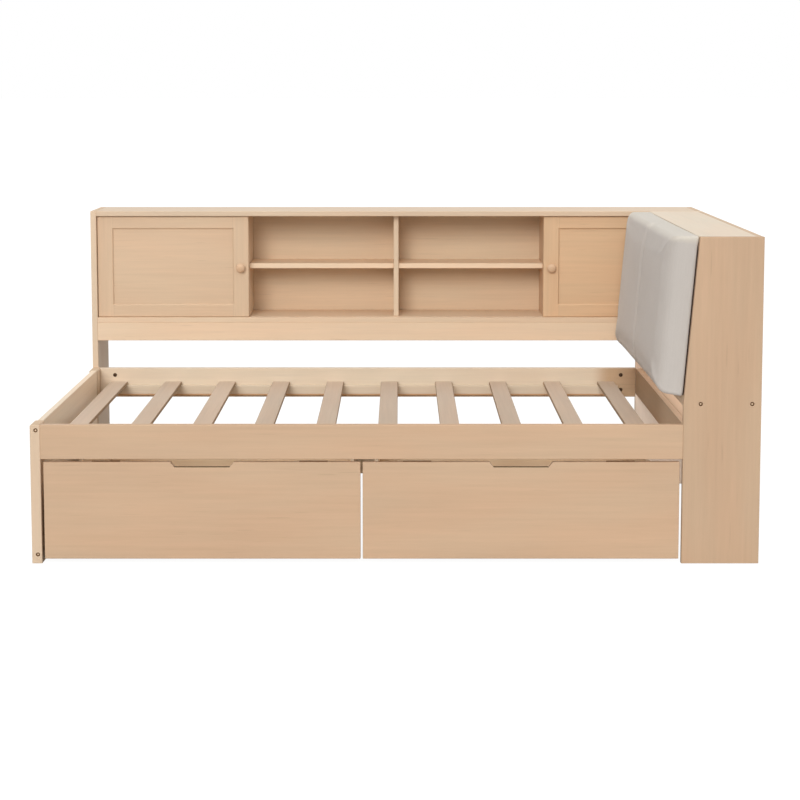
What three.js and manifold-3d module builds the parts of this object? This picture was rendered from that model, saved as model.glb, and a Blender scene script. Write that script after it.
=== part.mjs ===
// L-shaped daybed. A slatted single bed stands on a left end frame and on a tapered
// headboard unit with a padded backrest. Two drawers roll under it, and a bookcase
// with two sliding doors runs along its back.
//
// Millimetres. X runs along the bed, Y from front to back and Z up. The origin is on
// the floor, under the middle of the whole piece.

import * as THREE from 'three';
import { mergeVertices } from 'three/addons/utils/BufferGeometryUtils.js';
import Module from 'manifold-3d';

const wasm = await Module();
wasm.setup();

// Overall sizes
const LENGTH = 2180;
const BED_DEPTH = 1027;
const BOOKCASE_DEPTH = 213;
const HEIGHT = 984;

// Clearances and small forms that many pieces share
const SEAT_GAP = 0.3;
const EASED_EDGE = 1.5;
const BOARD_THICK = 18;
const FLOOR_CLEARANCE = 14.5;
const BOLT_HEAD_DIAMETER = 13;
const BOLT_HEAD_DEPTH = 5;
const HOLE_SIDES = 16;
const CUT_OVERRUN = 1;

// Bed frame
const RAIL_TOP = 422;
const RAIL_HEIGHT = 104;
const RAIL_THICK = 20;
const POST_THICK = 30;
const POST_DEPTH = 70;
const POST_TOP_RADIUS = 5;
const END_PANEL_THICK = 19;
const END_PANEL_REBATE = 3;
const END_PANEL_CLEARANCE = 11;
const END_BOLT_FROM_EDGE = 16.5;
const RAIL_NUT_DIAMETER = 12;
const RAIL_NUT_DEPTH = 13;
const RAIL_NUT_FROM_END = 53;
const RAIL_NUT_DROPS = [24.5, 78];

// Slats and the ledgers that carry them
const SLAT_COUNT = 10;
const SLAT_WIDTH = 60;
const SLAT_THICK = 12;
const SLAT_DROP = 48;
const SLAT_FOOT_MARGIN = 41;
const SLAT_HEAD_MARGIN = 77.5;
const SLAT_END_GAP = 0.5;
const LEDGER_HEIGHT = 35;
const LEDGER_THICK = 22;

// Headboard unit
const HEADBOARD_WIDTH = 232;
const HEADBOARD_TOP_WIDTH = 190;
const SLANT_START = 487;
const HEAD_RAIL_HEIGHT = 92;
const LEDGE_WIDTH = 90;
const FLOOR_BOARD_HEIGHT = 485;
const BACKREST_THICK = 15;
const HEADBOARD_BOLTS_FROM_BACK = [27.5, 181];

// Backrest cushion
const CUSHION_FRONT_INSET = 5;
const CUSHION_REAR_INSET = 49;
const CUSHION_THICK = 92;
const CUSHION_BOTTOM = 507;
const CUSHION_CROWN = 6;
const CUSHION_PULL = 3;
const CUSHION_CORNER = 12;
const CUSHION_FRONT_ROUND = 28;
const CUSHION_BACK_ROUND = 10;
const CHANNEL_WIDTH = 48;
const CHANNEL_DEPTH = 8;
const CHANNEL_SOFTNESS = 12;
const CUSHION_STEPS_ALONG = 4;
const CUSHION_STEPS_UP = 3;
const CUSHION_ROUND_STEPS = 3;

// Bookcase
const CASE_SIDE_THICK = 20;
const CASE_FLOOR_TOP = 602;
const APRON_HEIGHT = 65;
const CUBBY_WIDTH = 519;
const SHELF_TOP = 792;
const SHELF_SETBACK = 50;
const DIVIDER_SETBACK = 40;
const BACK_PANEL_THICK = 6;
const BACK_PANEL_INSET = 3;
const STRETCHER_HEIGHT = 100;
const STRETCHER_SETBACK = 82;

// Sliding doors, their grooves and knobs
const DOOR_THICK = 18;
const DOOR_SETBACK = 12;
const DOOR_END_GAP = 1.5;
const DOOR_EDGE_GAP = 1.5;
const PARTITION_GAP = 3;
const STILE_WIDTH = 56;
const DOOR_RAIL_WIDTH = 45;
const PANEL_RECESS = 6;
const BACK_RECESS = 3;
const TONGUE_THICK = 8;
const GROOVE_DEPTH = 8;
const GROOVE_SIDE_GAP = 1;
const TONGUE_TOP_GAP = 2;
const KNOB_DIAMETER = 32;
const KNOB_LENGTH = 25;
const KNOB_BALL_DEPTH = 20;
const KNOB_NECK = 14;
const KNOB_FOOT_FLARE = 2;
const KNOB_HEIGHT = 780;
const KNOB_STEPS = 7;
const KNOB_SIDES = 20;

// Drawers
const DRAWER_TOP_GAP = 9;
const DRAWER_SIDE_GAP = 8.5;
const DRAWER_MID_GAP = 6.5;
const NOTCH_TOP_WIDTH = 190;
const NOTCH_BOTTOM_WIDTH = 165;
const NOTCH_DEPTH = 16;
const BOX_SIDE_INSET = 30;
const BOX_WALL = 12;
const BOX_WALL_HEIGHT = 170;
const BOX_BOTTOM_THICK = 10;
const BOX_REAR_GAP = 100;

// Casters under the drawers
const WHEEL_DIAMETER = 40;
const WHEEL_WIDTH = 18;
const WHEEL_BORE = 6.8;
const AXLE_DIAMETER = 6;
const AXLE_SIDES = 12;
const WHEEL_SIDE_GAP = 0.8;
const WHEEL_TOP_GAP = 3;
const WHEEL_HUB_WALL = 4;
const WHEEL_DISH_DEPTH = 3;
const WHEEL_DISH_RIM = 5;
const WHEEL_RIM = 4;
const WHEEL_EDGE = 1.5;
const WHEEL_SIDES = 20;
const FORK_PLATE_THICK = 3;
const FORK_EAR_THICK = 3;
const FORK_EAR_RADIUS = 6;
const FORK_EAR_STEPS = 8;
const FORK_LENGTH = 44;
const CASTER_FROM_SIDE = 70;
const CASTER_FROM_END = 90;

// Finishes
const wood = { color: 0xd8b892, roughness: 0.55, metalness: 0 };
const slatWood = { color: 0xc8b49e, roughness: 0.7, metalness: 0 };
const backingWood = { color: 0xd2ad82, roughness: 0.65, metalness: 0 };
const boxWood = { color: 0xdcc4a2, roughness: 0.65, metalness: 0 };
const cushionCloth = { color: 0xbeb6ac, roughness: 0.95, metalness: 0 };
const wheelPlastic = { color: 0x2b2b2d, roughness: 0.5, metalness: 0 };

// Planes that pieces share
const left = -LENGTH / 2;
const right = LENGTH / 2;
const front = -(BED_DEPTH + BOOKCASE_DEPTH) / 2;
const bedBack = front + BED_DEPTH;
const rear = bedBack + BOOKCASE_DEPTH;
const postInner = left + POST_THICK;
const footInner = postInner - END_PANEL_REBATE;
const headFront = right - HEADBOARD_WIDTH;
const railBottom = RAIL_TOP - RAIL_HEIGHT;
const slatTop = RAIL_TOP - SLAT_DROP;
const ledgerTop = slatTop - SLAT_THICK;
const frontRailBack = front + RAIL_THICK;
const backRailFront = bedBack - RAIL_THICK;
const caseTop = HEIGHT - BOARD_THICK;
const slant = Math.atan((HEADBOARD_WIDTH - HEADBOARD_TOP_WIDTH) / (HEIGHT - SLANT_START));

const daybed = new THREE.Group();

// Board faces lie on a fine grid, so that faces that meet hold the same number.
function snap(value) {
  const steps = 64;
  return Math.round(value * steps) / steps;
}

function addPiece(group, name, geometry, finish, position = new THREE.Vector3()) {
  const mesh = new THREE.Mesh(geometry, new THREE.MeshStandardMaterial(finish));
  mesh.name = name;
  mesh.position.copy(position);
  group.add(mesh);
  return mesh;
}

function toSolid(geometry) {
  const bare = geometry.clone();
  bare.deleteAttribute('normal');
  bare.deleteAttribute('uv');
  const merged = mergeVertices(bare, 1e-4);
  return new wasm.Manifold(new wasm.Mesh({
    numProp: 3,
    vertProperties: new Float32Array(merged.attributes.position.array),
    triVerts: new Uint32Array(merged.index.array),
  }));
}

function toGeometry(solid) {
  const mesh = solid.getMesh();
  const geometry = new THREE.BufferGeometry();
  geometry.setAttribute('position', new THREE.BufferAttribute(mesh.vertProperties, 3));
  geometry.setIndex(new THREE.BufferAttribute(mesh.triVerts, 1));
  geometry.computeVertexNormals();
  return geometry;
}

// Joins the added shapes to a shape, then takes the cutters out of it.
function shaped(geometry, adds, cuts) {
  let solid = toSolid(geometry);
  for (const add of adds) {
    solid = solid.add(toSolid(add));
  }
  for (const cut of cuts) {
    solid = solid.subtract(toSolid(cut));
  }
  return toGeometry(solid);
}

// A box whose edges are chamfered: each corner has one vertex on each of its three
// faces. Faces, edges and corners are then joined and turned to point outwards.
function easedBox(size, edge) {
  const half = size.clone().multiplyScalar(0.5);
  const positions = [];
  const indexOf = new Map();
  for (const sx of [-1, 1]) {
    for (const sy of [-1, 1]) {
      for (const sz of [-1, 1]) {
        for (const axis of [0, 1, 2]) {
          const inset = [edge, edge, edge];
          inset[axis] = 0;
          indexOf.set(`${sx},${sy},${sz},${axis}`, positions.length / 3);
          positions.push(
            sx * (half.x - inset[0]),
            sy * (half.y - inset[1]),
            sz * (half.z - inset[2]),
          );
        }
      }
    }
  }
  const vertex = (signs, axis) => indexOf.get(`${signs.join(',')},${axis}`);
  const at = (index) => new THREE.Vector3().fromArray(positions, index * 3);
  const triangles = [];
  const addFace = (loop) => {
    const [a, b, c] = loop.map(at);
    const normal = b.clone().sub(a).cross(c.clone().sub(a));
    const outward = normal.dot(a) > 0 ? loop : [...loop].reverse();
    for (let i = 1; i + 1 < outward.length; i += 1) {
      triangles.push(outward[0], outward[i], outward[i + 1]);
    }
  };
  for (const axis of [0, 1, 2]) {
    const [u, v] = [(axis + 1) % 3, (axis + 2) % 3];
    const signs = (along, su, sv) => {
      const list = [0, 0, 0];
      list[axis] = along;
      list[u] = su;
      list[v] = sv;
      return list;
    };
    for (const along of [-1, 1]) {
      const corners = [[-1, -1], [1, -1], [1, 1], [-1, 1]];
      addFace(corners.map(([su, sv]) => vertex(signs(along, su, sv), axis)));
    }
    for (const su of [-1, 1]) {
      for (const sv of [-1, 1]) {
        addFace([
          vertex(signs(-1, su, sv), u),
          vertex(signs(1, su, sv), u),
          vertex(signs(1, su, sv), v),
          vertex(signs(-1, su, sv), v),
        ]);
      }
    }
  }
  for (const sx of [-1, 1]) {
    for (const sy of [-1, 1]) {
      for (const sz of [-1, 1]) {
        addFace([0, 1, 2].map((axis) => vertex([sx, sy, sz], axis)));
      }
    }
  }
  const geometry = new THREE.BufferGeometry();
  geometry.setAttribute('position', new THREE.Float32BufferAttribute(positions, 3));
  geometry.setIndex(triangles);
  geometry.computeVertexNormals();
  return geometry;
}

// A board between three pairs of planes. Cutters and added shapes are given where they
// lie in the daybed.
function addBoard(group, name, finish, x, y, z, { adds = [], cuts = [], edge = EASED_EDGE } = {}) {
  const low = new THREE.Vector3(snap(x[0]), snap(y[0]), snap(z[0]));
  const high = new THREE.Vector3(snap(x[1]), snap(y[1]), snap(z[1]));
  const centre = low.clone().add(high).multiplyScalar(0.5);
  let geometry = easedBox(high.sub(low), edge);
  if (adds.length + cuts.length > 0) {
    const local = (shape) => shape.clone().translate(-centre.x, -centre.y, -centre.z);
    geometry = shaped(geometry, adds.map(local), cuts.map(local));
  }
  return addPiece(group, name, geometry, finish, centre);
}

function block(x, y, z) {
  const geometry = new THREE.BoxGeometry(x[1] - x[0], y[1] - y[0], z[1] - z[0]);
  return geometry.translate((x[0] + x[1]) / 2, (y[0] + y[1]) / 2, (z[0] + z[1]) / 2);
}

// A round cutter that enters a face at a point and goes in by a depth.
function drill(point, into, diameter, depth) {
  const radius = diameter / 2;
  const geometry = new THREE.CylinderGeometry(radius, radius, depth + CUT_OVERRUN, HOLE_SIDES);
  const turn = new THREE.Quaternion().setFromUnitVectors(new THREE.Vector3(0, 1, 0), into);
  geometry.applyQuaternion(turn);
  const middle = point.clone().addScaledVector(into, (depth - CUT_OVERRUN) / 2);
  return geometry.translate(middle.x, middle.y, middle.z);
}

// An outline in X and Z, given thickness along Y from a front plane, with eased rims.
function uprightPlate(outline, thick, edge) {
  const geometry = new THREE.ExtrudeGeometry(outline, {
    depth: thick - 2 * edge,
    bevelEnabled: edge > 0,
    bevelThickness: edge,
    bevelSize: edge,
    bevelOffset: -edge,
    bevelSegments: 1,
    curveSegments: 3,
  });
  return geometry.rotateX(Math.PI / 2).translate(0, thick - edge, 0);
}

// Left end frame: two posts with a panel between them
function addEndFrame(group) {
  const thick = snap(POST_THICK);
  const tall = snap(RAIL_TOP);
  const radius = POST_TOP_RADIUS;
  const outline = new THREE.Shape();
  outline.moveTo(0, 0);
  outline.lineTo(thick, 0);
  outline.lineTo(thick, tall - radius);
  outline.absarc(thick - radius, tall - radius, radius, 0, Math.PI / 2, false);
  outline.absarc(radius, tall - radius, radius, Math.PI / 2, Math.PI, false);
  outline.lineTo(0, 0);

  const panelX = [footInner - END_PANEL_THICK, footInner];
  const panelZ = [END_PANEL_CLEARANCE, RAIL_TOP];
  const panelMiddle = (panelX[0] + panelX[1]) / 2;
  const boltHeights = [panelZ[0] + END_BOLT_FROM_EDGE, panelZ[1] - END_BOLT_FROM_EDGE];
  const places = [
    ['front_left_post', front, front, 1, (frontRailBack + front) / 2],
    ['rear_left_post', bedBack - POST_DEPTH, bedBack, -1, (backRailFront + bedBack) / 2],
  ];
  for (const [name, low, face, inward, railMiddle] of places) {
    const start = new THREE.Vector3(snap(left), snap(low), 0);
    const cuts = boltHeights.map((height) => drill(
      new THREE.Vector3(panelMiddle, face, height),
      new THREE.Vector3(0, inward, 0),
      BOLT_HEAD_DIAMETER,
      BOLT_HEAD_DEPTH,
    ));
    for (const drop of RAIL_NUT_DROPS) {
      cuts.push(drill(
        new THREE.Vector3(left, railMiddle, RAIL_TOP - drop),
        new THREE.Vector3(1, 0, 0),
        BOLT_HEAD_DIAMETER,
        BOLT_HEAD_DEPTH,
      ));
    }
    const plate = uprightPlate(outline, snap(POST_DEPTH), EASED_EDGE);
    const local = cuts.map((cut) => cut.translate(-start.x, -start.y, 0));
    addPiece(group, name, shaped(plate, [], local), wood, start);
  }
  const panelY = [front + POST_DEPTH, bedBack - POST_DEPTH];
  addBoard(group, 'foot_panel', wood, panelX, panelY, panelZ);
}

// Long rails, with the cross holes of their barrel nuts, and the ledgers behind them
function addRails(group) {
  const ends = [postInner + RAIL_NUT_FROM_END, headFront - RAIL_NUT_FROM_END];
  const nutHoles = (face, into) => ends.flatMap((x) => RAIL_NUT_DROPS.map((drop) => drill(
    new THREE.Vector3(x, face, RAIL_TOP - drop),
    new THREE.Vector3(0, into, 0),
    RAIL_NUT_DIAMETER,
    RAIL_NUT_DEPTH,
  )));
  const railX = [postInner, headFront];
  const railZ = [railBottom, RAIL_TOP];
  addBoard(group, 'front_rail', wood, railX, [front, frontRailBack], railZ, {
    cuts: nutHoles(frontRailBack, -1),
  });
  addBoard(group, 'back_rail', wood, railX, [backRailFront, bedBack], railZ, {
    cuts: nutHoles(backRailFront, 1),
  });
  const ledgerZ = [ledgerTop - LEDGER_HEIGHT, ledgerTop];
  const clearOfNuts = RAIL_NUT_FROM_END + RAIL_NUT_DIAMETER;
  const ledgerX = [postInner + clearOfNuts, headFront - clearOfNuts];
  const frontY = [frontRailBack, frontRailBack + LEDGER_THICK];
  const backY = [backRailFront - LEDGER_THICK, backRailFront];
  addBoard(group, 'front_ledger', wood, ledgerX, frontY, ledgerZ);
  addBoard(group, 'back_ledger', wood, ledgerX, backY, ledgerZ);
}

// Slats across the bed, evenly spaced, with their ends on the ledgers
function addSlats(group) {
  const first = footInner + SLAT_FOOT_MARGIN;
  const last = headFront - SLAT_HEAD_MARGIN - SLAT_WIDTH;
  const pitch = (last - first) / (SLAT_COUNT - 1);
  const y = [frontRailBack + SLAT_END_GAP, backRailFront - SLAT_END_GAP];
  for (let i = 0; i < SLAT_COUNT; i += 1) {
    const x = first + i * pitch;
    const name = `slat_${i + 1}`;
    addBoard(group, name, slatWood, [x, x + SLAT_WIDTH], y, [ledgerTop, slatTop]);
  }
}

// Headboard unit: two tapered sides, and the boards between them
function addHeadboard(group) {
  const outline = new THREE.Shape();
  outline.moveTo(0, 0);
  outline.lineTo(snap(HEADBOARD_WIDTH), 0);
  outline.lineTo(snap(HEADBOARD_WIDTH), snap(HEIGHT));
  outline.lineTo(snap(HEADBOARD_WIDTH - HEADBOARD_TOP_WIDTH), snap(HEIGHT));
  outline.lineTo(0, snap(SLANT_START));
  outline.lineTo(0, 0);
  const sides = [
    ['headboard_front_side', front, front, 1],
    ['headboard_rear_side', bedBack - BOARD_THICK, bedBack, -1],
  ];
  for (const [name, low, face, inward] of sides) {
    const start = new THREE.Vector3(snap(headFront), snap(low), 0);
    const cuts = HEADBOARD_BOLTS_FROM_BACK.map((fromBack) => drill(
      new THREE.Vector3(right - fromBack, face, FLOOR_BOARD_HEIGHT),
      new THREE.Vector3(0, inward, 0),
      BOLT_HEAD_DIAMETER,
      BOLT_HEAD_DEPTH,
    ).translate(-start.x, -start.y, 0));
    const plate = uprightPlate(outline, snap(BOARD_THICK), EASED_EDGE);
    addPiece(group, name, shaped(plate, [], cuts), wood, start);
  }

  const y = [front + BOARD_THICK, bedBack - BOARD_THICK];
  const outerX = [right - BOARD_THICK, right];
  const railX = [headFront, headFront + RAIL_THICK];
  const railLow = RAIL_TOP - HEAD_RAIL_HEIGHT;
  const boardLow = FLOOR_BOARD_HEIGHT - BOARD_THICK / 2;
  const boardHigh = FLOOR_BOARD_HEIGHT + BOARD_THICK / 2;
  const slantX = (height) => headFront + Math.max(0, height - SLANT_START) * Math.tan(slant);

  // The rails of the bed and of this unit meet at the corners, so it starts behind them.
  const railY = [frontRailBack, backRailFront];
  addBoard(group, 'headboard_rail', wood, railX, railY, [railLow, RAIL_TOP]);
  const ledgeX = [railX[1], railX[1] + LEDGE_WIDTH];
  addBoard(group, 'headboard_ledge', wood, ledgeX, y, [RAIL_TOP - BOARD_THICK, RAIL_TOP]);
  const floorX = [slantX(boardHigh), outerX[0]];
  addBoard(group, 'headboard_floor_board', wood, floorX, y, [boardLow, boardHigh]);

  // The outer panel closes the unit above its floor board and leaves it open below.
  addBoard(group, 'headboard_outer_panel', wood, outerX, y, [boardLow, HEIGHT]);

  // The front edges of the top board and of the backrest follow the slant of the sides.
  const topFront = slantX(caseTop);
  const topShape = new THREE.Shape();
  topShape.moveTo(topFront, caseTop);
  topShape.lineTo(outerX[0], caseTop);
  topShape.lineTo(outerX[0], HEIGHT);
  topShape.lineTo(slantX(HEIGHT), HEIGHT);
  topShape.lineTo(topFront, caseTop);
  const between = snap(y[1]) - snap(y[0]);
  const start = new THREE.Vector3(0, snap(y[0]), 0);
  const top = uprightPlate(topShape, between, 0);
  addPiece(group, 'headboard_top', top, wood, start);

  const backLow = boardHigh + SEAT_GAP;
  const backHigh = caseTop - SEAT_GAP;
  const across = BACKREST_THICK / Math.cos(slant);
  const backShape = new THREE.Shape();
  backShape.moveTo(slantX(backLow), backLow);
  backShape.lineTo(slantX(backLow) + across, backLow);
  backShape.lineTo(slantX(backHigh) + across, backHigh);
  backShape.lineTo(slantX(backHigh), backHigh);
  backShape.lineTo(slantX(backLow), backLow);
  addPiece(group, 'backrest_board', uprightPlate(backShape, between, 0), backingWood, start);
}

// Distances of the cushion's grid lines from its middle, closer at the rounded corners
// and beside the sewn channel.
function gridLines(half, corner, channel, count) {
  const inner = channel > 0 ? [0, channel / 2, channel] : [0];
  const start = inner[inner.length - 1];
  const lines = [...inner];
  for (let i = 1; i <= count; i += 1) {
    lines.push(start + ((half - corner - start) * i) / count);
  }
  lines.push(half - corner / 2, half);
  return [...lines.slice(1).reverse().map((value) => -value), ...lines];
}

// The cushion lies in its own frame: Y along it, Z up its back face and X out of the
// back, so that its front face looks along -X. Rings run from the rim of the flat back,
// round the edge and on to the rim of the crowned front.
function cushionGeometry(length, height, thick) {
  const halfY = length / 2;
  const halfZ = height / 2;
  const linesY = gridLines(halfY, CUSHION_CORNER, CHANNEL_WIDTH / 2, CUSHION_STEPS_ALONG);
  const linesZ = gridLines(halfZ, CUSHION_CORNER, 0, CUSHION_STEPS_UP);
  const countY = linesY.length;
  const countZ = linesZ.length;

  const bottomRow = linesY.map((y) => [y, -halfZ]);
  const rightRow = linesZ.slice(1).map((z) => [halfY, z]);
  const topRow = linesY.slice(0, -1).reverse().map((y) => [y, halfZ]);
  const leftRow = linesZ.slice(1, -1).reverse().map((z) => [-halfY, z]);
  const rim = [...bottomRow, ...rightRow, ...topRow, ...leftRow];

  // A rim point on the ring that lies inwards by a distance. Every ring has corners of
  // the same radius, and its straight stretches draw together between them.
  const limitY = halfY - CUSHION_CORNER;
  const limitZ = halfZ - CUSHION_CORNER;
  const inset = ([y, z], distance) => {
    const innerY = limitY - distance;
    const innerZ = limitZ - distance;
    const overY = Math.abs(y) - limitY;
    const overZ = Math.abs(z) - limitZ;
    if (overY > 0 && overZ > 0) {
      const share = overY >= overZ ? overZ / CUSHION_CORNER : 2 - overY / CUSHION_CORNER;
      const angle = (share * Math.PI) / 4;
      return [
        Math.sign(y) * (innerY + CUSHION_CORNER * Math.cos(angle)),
        Math.sign(z) * (innerZ + CUSHION_CORNER * Math.sin(angle)),
      ];
    }
    const pullY = CUSHION_PULL * (1 - (z / halfZ) ** 2);
    const pullZ = CUSHION_PULL * (1 - (y / halfY) ** 2);
    if (Math.abs(y) === halfY) {
      return [Math.sign(y) * (halfY - distance - pullY), (z * innerZ) / limitZ];
    }
    return [(y * innerY) / limitY, Math.sign(z) * (halfZ - distance - pullZ)];
  };

  // How far a point of the front lies out: the crown, less the sewn channel.
  const swell = (y, z) => {
    const crown = Math.cos((Math.PI * y) / length) * Math.cos((Math.PI * z) / height);
    const channel = Math.exp(-((y / CHANNEL_SOFTNESS) ** 2));
    return CUSHION_CROWN * Math.sqrt(Math.max(0, crown)) - CHANNEL_DEPTH * channel;
  };

  const rings = [];
  for (let i = 0; i <= CUSHION_ROUND_STEPS; i += 1) {
    const angle = (i / CUSHION_ROUND_STEPS) * (Math.PI / 2);
    const round = CUSHION_BACK_ROUND;
    rings.push({ inset: round * (1 - Math.sin(angle)), out: round * (1 - Math.cos(angle)) });
  }
  for (let i = 0; i <= CUSHION_ROUND_STEPS; i += 1) {
    const angle = (i / CUSHION_ROUND_STEPS) * (Math.PI / 2);
    const round = CUSHION_FRONT_ROUND;
    const out = thick - CUSHION_CROWN - round * (1 - Math.sin(angle));
    rings.push({ inset: round * (1 - Math.cos(angle)), out });
  }

  const positions = [];
  const triangles = [];
  const flatOut = (y, z, out) => {
    const share = Math.max(0, out / thick);
    return -(out + swell(y, z) * share ** 2);
  };
  for (const ring of rings) {
    for (const point of rim) {
      const [y, z] = inset(point, ring.inset);
      positions.push(flatOut(y, z, ring.out), y, z + halfZ);
    }
  }
  const turns = rim.length;
  for (let ring = 0; ring + 1 < rings.length; ring += 1) {
    for (let i = 0; i < turns; i += 1) {
      const a = ring * turns + i;
      const b = ring * turns + ((i + 1) % turns);
      triangles.push(a, a + turns, b, b, a + turns, b + turns);
    }
  }

  // The flat back and the crowned front are grids whose outer lines are the end rings.
  const rimIndex = new Map(rim.map(([y, z], i) => [`${y},${z}`, i]));
  const addSheet = (ringIndex, flip) => {
    const ring = rings[ringIndex];
    const shrinkY = (halfY - ring.inset) / halfY;
    const shrinkZ = (halfZ - ring.inset) / halfZ;
    const grid = linesZ.map((z) => linesY.map((y) => {
      const onRim = rimIndex.get(`${y},${z}`);
      if (onRim !== undefined) {
        return ringIndex * turns + onRim;
      }
      const [innerY, innerZ] = [y * shrinkY, z * shrinkZ];
      positions.push(flatOut(innerY, innerZ, ring.out), innerY, innerZ + halfZ);
      return positions.length / 3 - 1;
    }));
    for (let row = 0; row + 1 < countZ; row += 1) {
      for (let column = 0; column + 1 < countY; column += 1) {
        const a = grid[row][column];
        const b = grid[row][column + 1];
        const c = grid[row + 1][column + 1];
        const d = grid[row + 1][column];
        const faces = flip ? [a, b, c, a, c, d] : [a, c, b, a, d, c];
        triangles.push(...faces);
      }
    }
  };
  addSheet(0, true);
  addSheet(rings.length - 1, false);

  const geometry = new THREE.BufferGeometry();
  geometry.setAttribute('position', new THREE.Float32BufferAttribute(positions, 3));
  geometry.setIndex(triangles);
  geometry.computeVertexNormals();
  return geometry;
}

// The cushion leans on the backrest board, in a group turned by the slant.
function addCushion(group) {
  const lift = (CUSHION_BOTTOM - SLANT_START) / Math.cos(slant);
  const rise = HEIGHT - CUSHION_BOTTOM - CUSHION_THICK * Math.sin(slant);
  const length = BED_DEPTH - CUSHION_FRONT_INSET - CUSHION_REAR_INSET;
  const leaning = new THREE.Group();
  leaning.position.set(headFront, front + CUSHION_FRONT_INSET + length / 2, SLANT_START);
  leaning.rotation.y = slant;
  group.add(leaning);
  const geometry = cushionGeometry(length, rise / Math.cos(slant), CUSHION_THICK);
  const seat = new THREE.Vector3(-SEAT_GAP, 0, lift);
  addPiece(leaning, 'backrest_cushion', geometry, cushionCloth, seat);
}

// Bookcase: sides, grooved top and floor, apron, back, partitions and shelves
function addBookcase(group) {
  const y = [bedBack, rear];
  const innerX = [left + CASE_SIDE_THICK, right - CASE_SIDE_THICK];
  const backFace = rear - BACK_PANEL_INSET - BACK_PANEL_THICK;
  const [tongueFront, tongueBack] = doorTongueY();
  const grooveY = [tongueFront - GROOVE_SIDE_GAP, tongueBack + GROOVE_SIDE_GAP];
  const grooveX = [innerX[0] - CUT_OVERRUN, innerX[1] + CUT_OVERRUN];
  const topGroove = block(grooveX, grooveY, [caseTop - CUT_OVERRUN, caseTop + GROOVE_DEPTH]);
  const floorGroove = block(grooveX, grooveY, [
    CASE_FLOOR_TOP - GROOVE_DEPTH,
    CASE_FLOOR_TOP + CUT_OVERRUN,
  ]);

  addBoard(group, 'bookcase_left_side', wood, [left, innerX[0]], y, [0, HEIGHT]);
  addBoard(group, 'bookcase_right_side', wood, [innerX[1], right], y, [0, HEIGHT]);
  addBoard(group, 'bookcase_top', wood, innerX, y, [caseTop, HEIGHT], { cuts: [topGroove] });
  const floorLow = CASE_FLOOR_TOP - BOARD_THICK;
  addBoard(group, 'bookcase_floor', wood, innerX, y, [floorLow, CASE_FLOOR_TOP], {
    cuts: [floorGroove],
  });
  const apronY = [bedBack, bedBack + BOARD_THICK];
  addBoard(group, 'bookcase_apron', wood, innerX, apronY, [floorLow - APRON_HEIGHT, floorLow]);
  const stretcherY = [bedBack + STRETCHER_SETBACK, bedBack + STRETCHER_SETBACK + BOARD_THICK];
  addBoard(group, 'bookcase_stretcher', wood, innerX, stretcherY, [
    FLOOR_CLEARANCE,
    FLOOR_CLEARANCE + STRETCHER_HEIGHT,
  ]);

  const inside = [CASE_FLOOR_TOP, caseTop];
  const backY = [backFace, backFace + BACK_PANEL_THICK];
  addBoard(group, 'bookcase_back', backingWood, innerX, backY, inside);
  const halfBoard = BOARD_THICK / 2;
  const cubbyEdge = halfBoard + CUBBY_WIDTH;
  const partitionY = [doorBack() + PARTITION_GAP, backFace];
  const dividerX = [-halfBoard, halfBoard];
  const dividerY = [bedBack + DIVIDER_SETBACK, backFace];
  addBoard(group, 'bookcase_divider', wood, dividerX, dividerY, inside);
  const shelfY = [bedBack + SHELF_SETBACK, backFace];
  const shelfZ = [SHELF_TOP - BOARD_THICK, SHELF_TOP];
  for (const [side, way] of [['left', -1], ['right', 1]]) {
    const span = (from, to) => [way * from, way * to].sort((a, b) => a - b);
    const partitionX = span(cubbyEdge, cubbyEdge + BOARD_THICK);
    addBoard(group, `${side}_partition`, wood, partitionX, partitionY, inside);
    addBoard(group, `${side}_shelf`, wood, span(halfBoard, cubbyEdge), shelfY, shelfZ);
  }
}

function doorBack() {
  return bedBack + DOOR_SETBACK + DOOR_THICK;
}

function doorTongueY() {
  const middle = bedBack + DOOR_SETBACK + DOOR_THICK / 2;
  return [middle - TONGUE_THICK / 2, middle + TONGUE_THICK / 2];
}

// Shaker doors: a frame round a recessed panel, with a knob half way across the inner
// stile. A tongue along the foot and one along the head run in the grooves of the
// bookcase's floor and top.
function addDoors(group) {
  const y = [bedBack + DOOR_SETBACK, doorBack()];
  const z = [CASE_FLOOR_TOP + DOOR_EDGE_GAP, caseTop - DOOR_EDGE_GAP];
  const outer = LENGTH / 2 - CASE_SIDE_THICK - DOOR_END_GAP;
  const inner = BOARD_THICK / 2 + CUBBY_WIDTH;
  const knob = knobGeometry();
  for (const [side, way] of [['left', -1], ['right', 1]]) {
    const span = (from, to) => [way * from, way * to].sort((a, b) => a - b);
    const panelX = span(inner + STILE_WIDTH, outer - STILE_WIDTH);
    const panelZ = [z[0] + DOOR_RAIL_WIDTH, z[1] - DOOR_RAIL_WIDTH];
    const faceRecess = block(panelX, [y[0] - CUT_OVERRUN, y[0] + PANEL_RECESS], panelZ);
    const backRecess = block(panelX, [y[1] - BACK_RECESS, y[1] + CUT_OVERRUN], panelZ);
    const tongueX = span(inner + EASED_EDGE, outer - EASED_EDGE);
    const footTongue = block(tongueX, doorTongueY(), [
      CASE_FLOOR_TOP - GROOVE_DEPTH + SEAT_GAP,
      z[0] + CUT_OVERRUN,
    ]);
    const headTongue = block(tongueX, doorTongueY(), [
      z[1] - CUT_OVERRUN,
      caseTop + GROOVE_DEPTH - TONGUE_TOP_GAP,
    ]);
    addBoard(group, `${side}_door`, wood, span(inner, outer), y, z, {
      adds: [footTongue, headTongue],
      cuts: [faceRecess, backRecess],
    });
    const knobX = way * (inner + STILE_WIDTH / 2);
    const knobPlace = new THREE.Vector3(knobX, snap(y[0]), KNOB_HEIGHT);
    addPiece(group, `${side}_door_knob`, knob.clone(), wood, knobPlace);
  }
}

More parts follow.
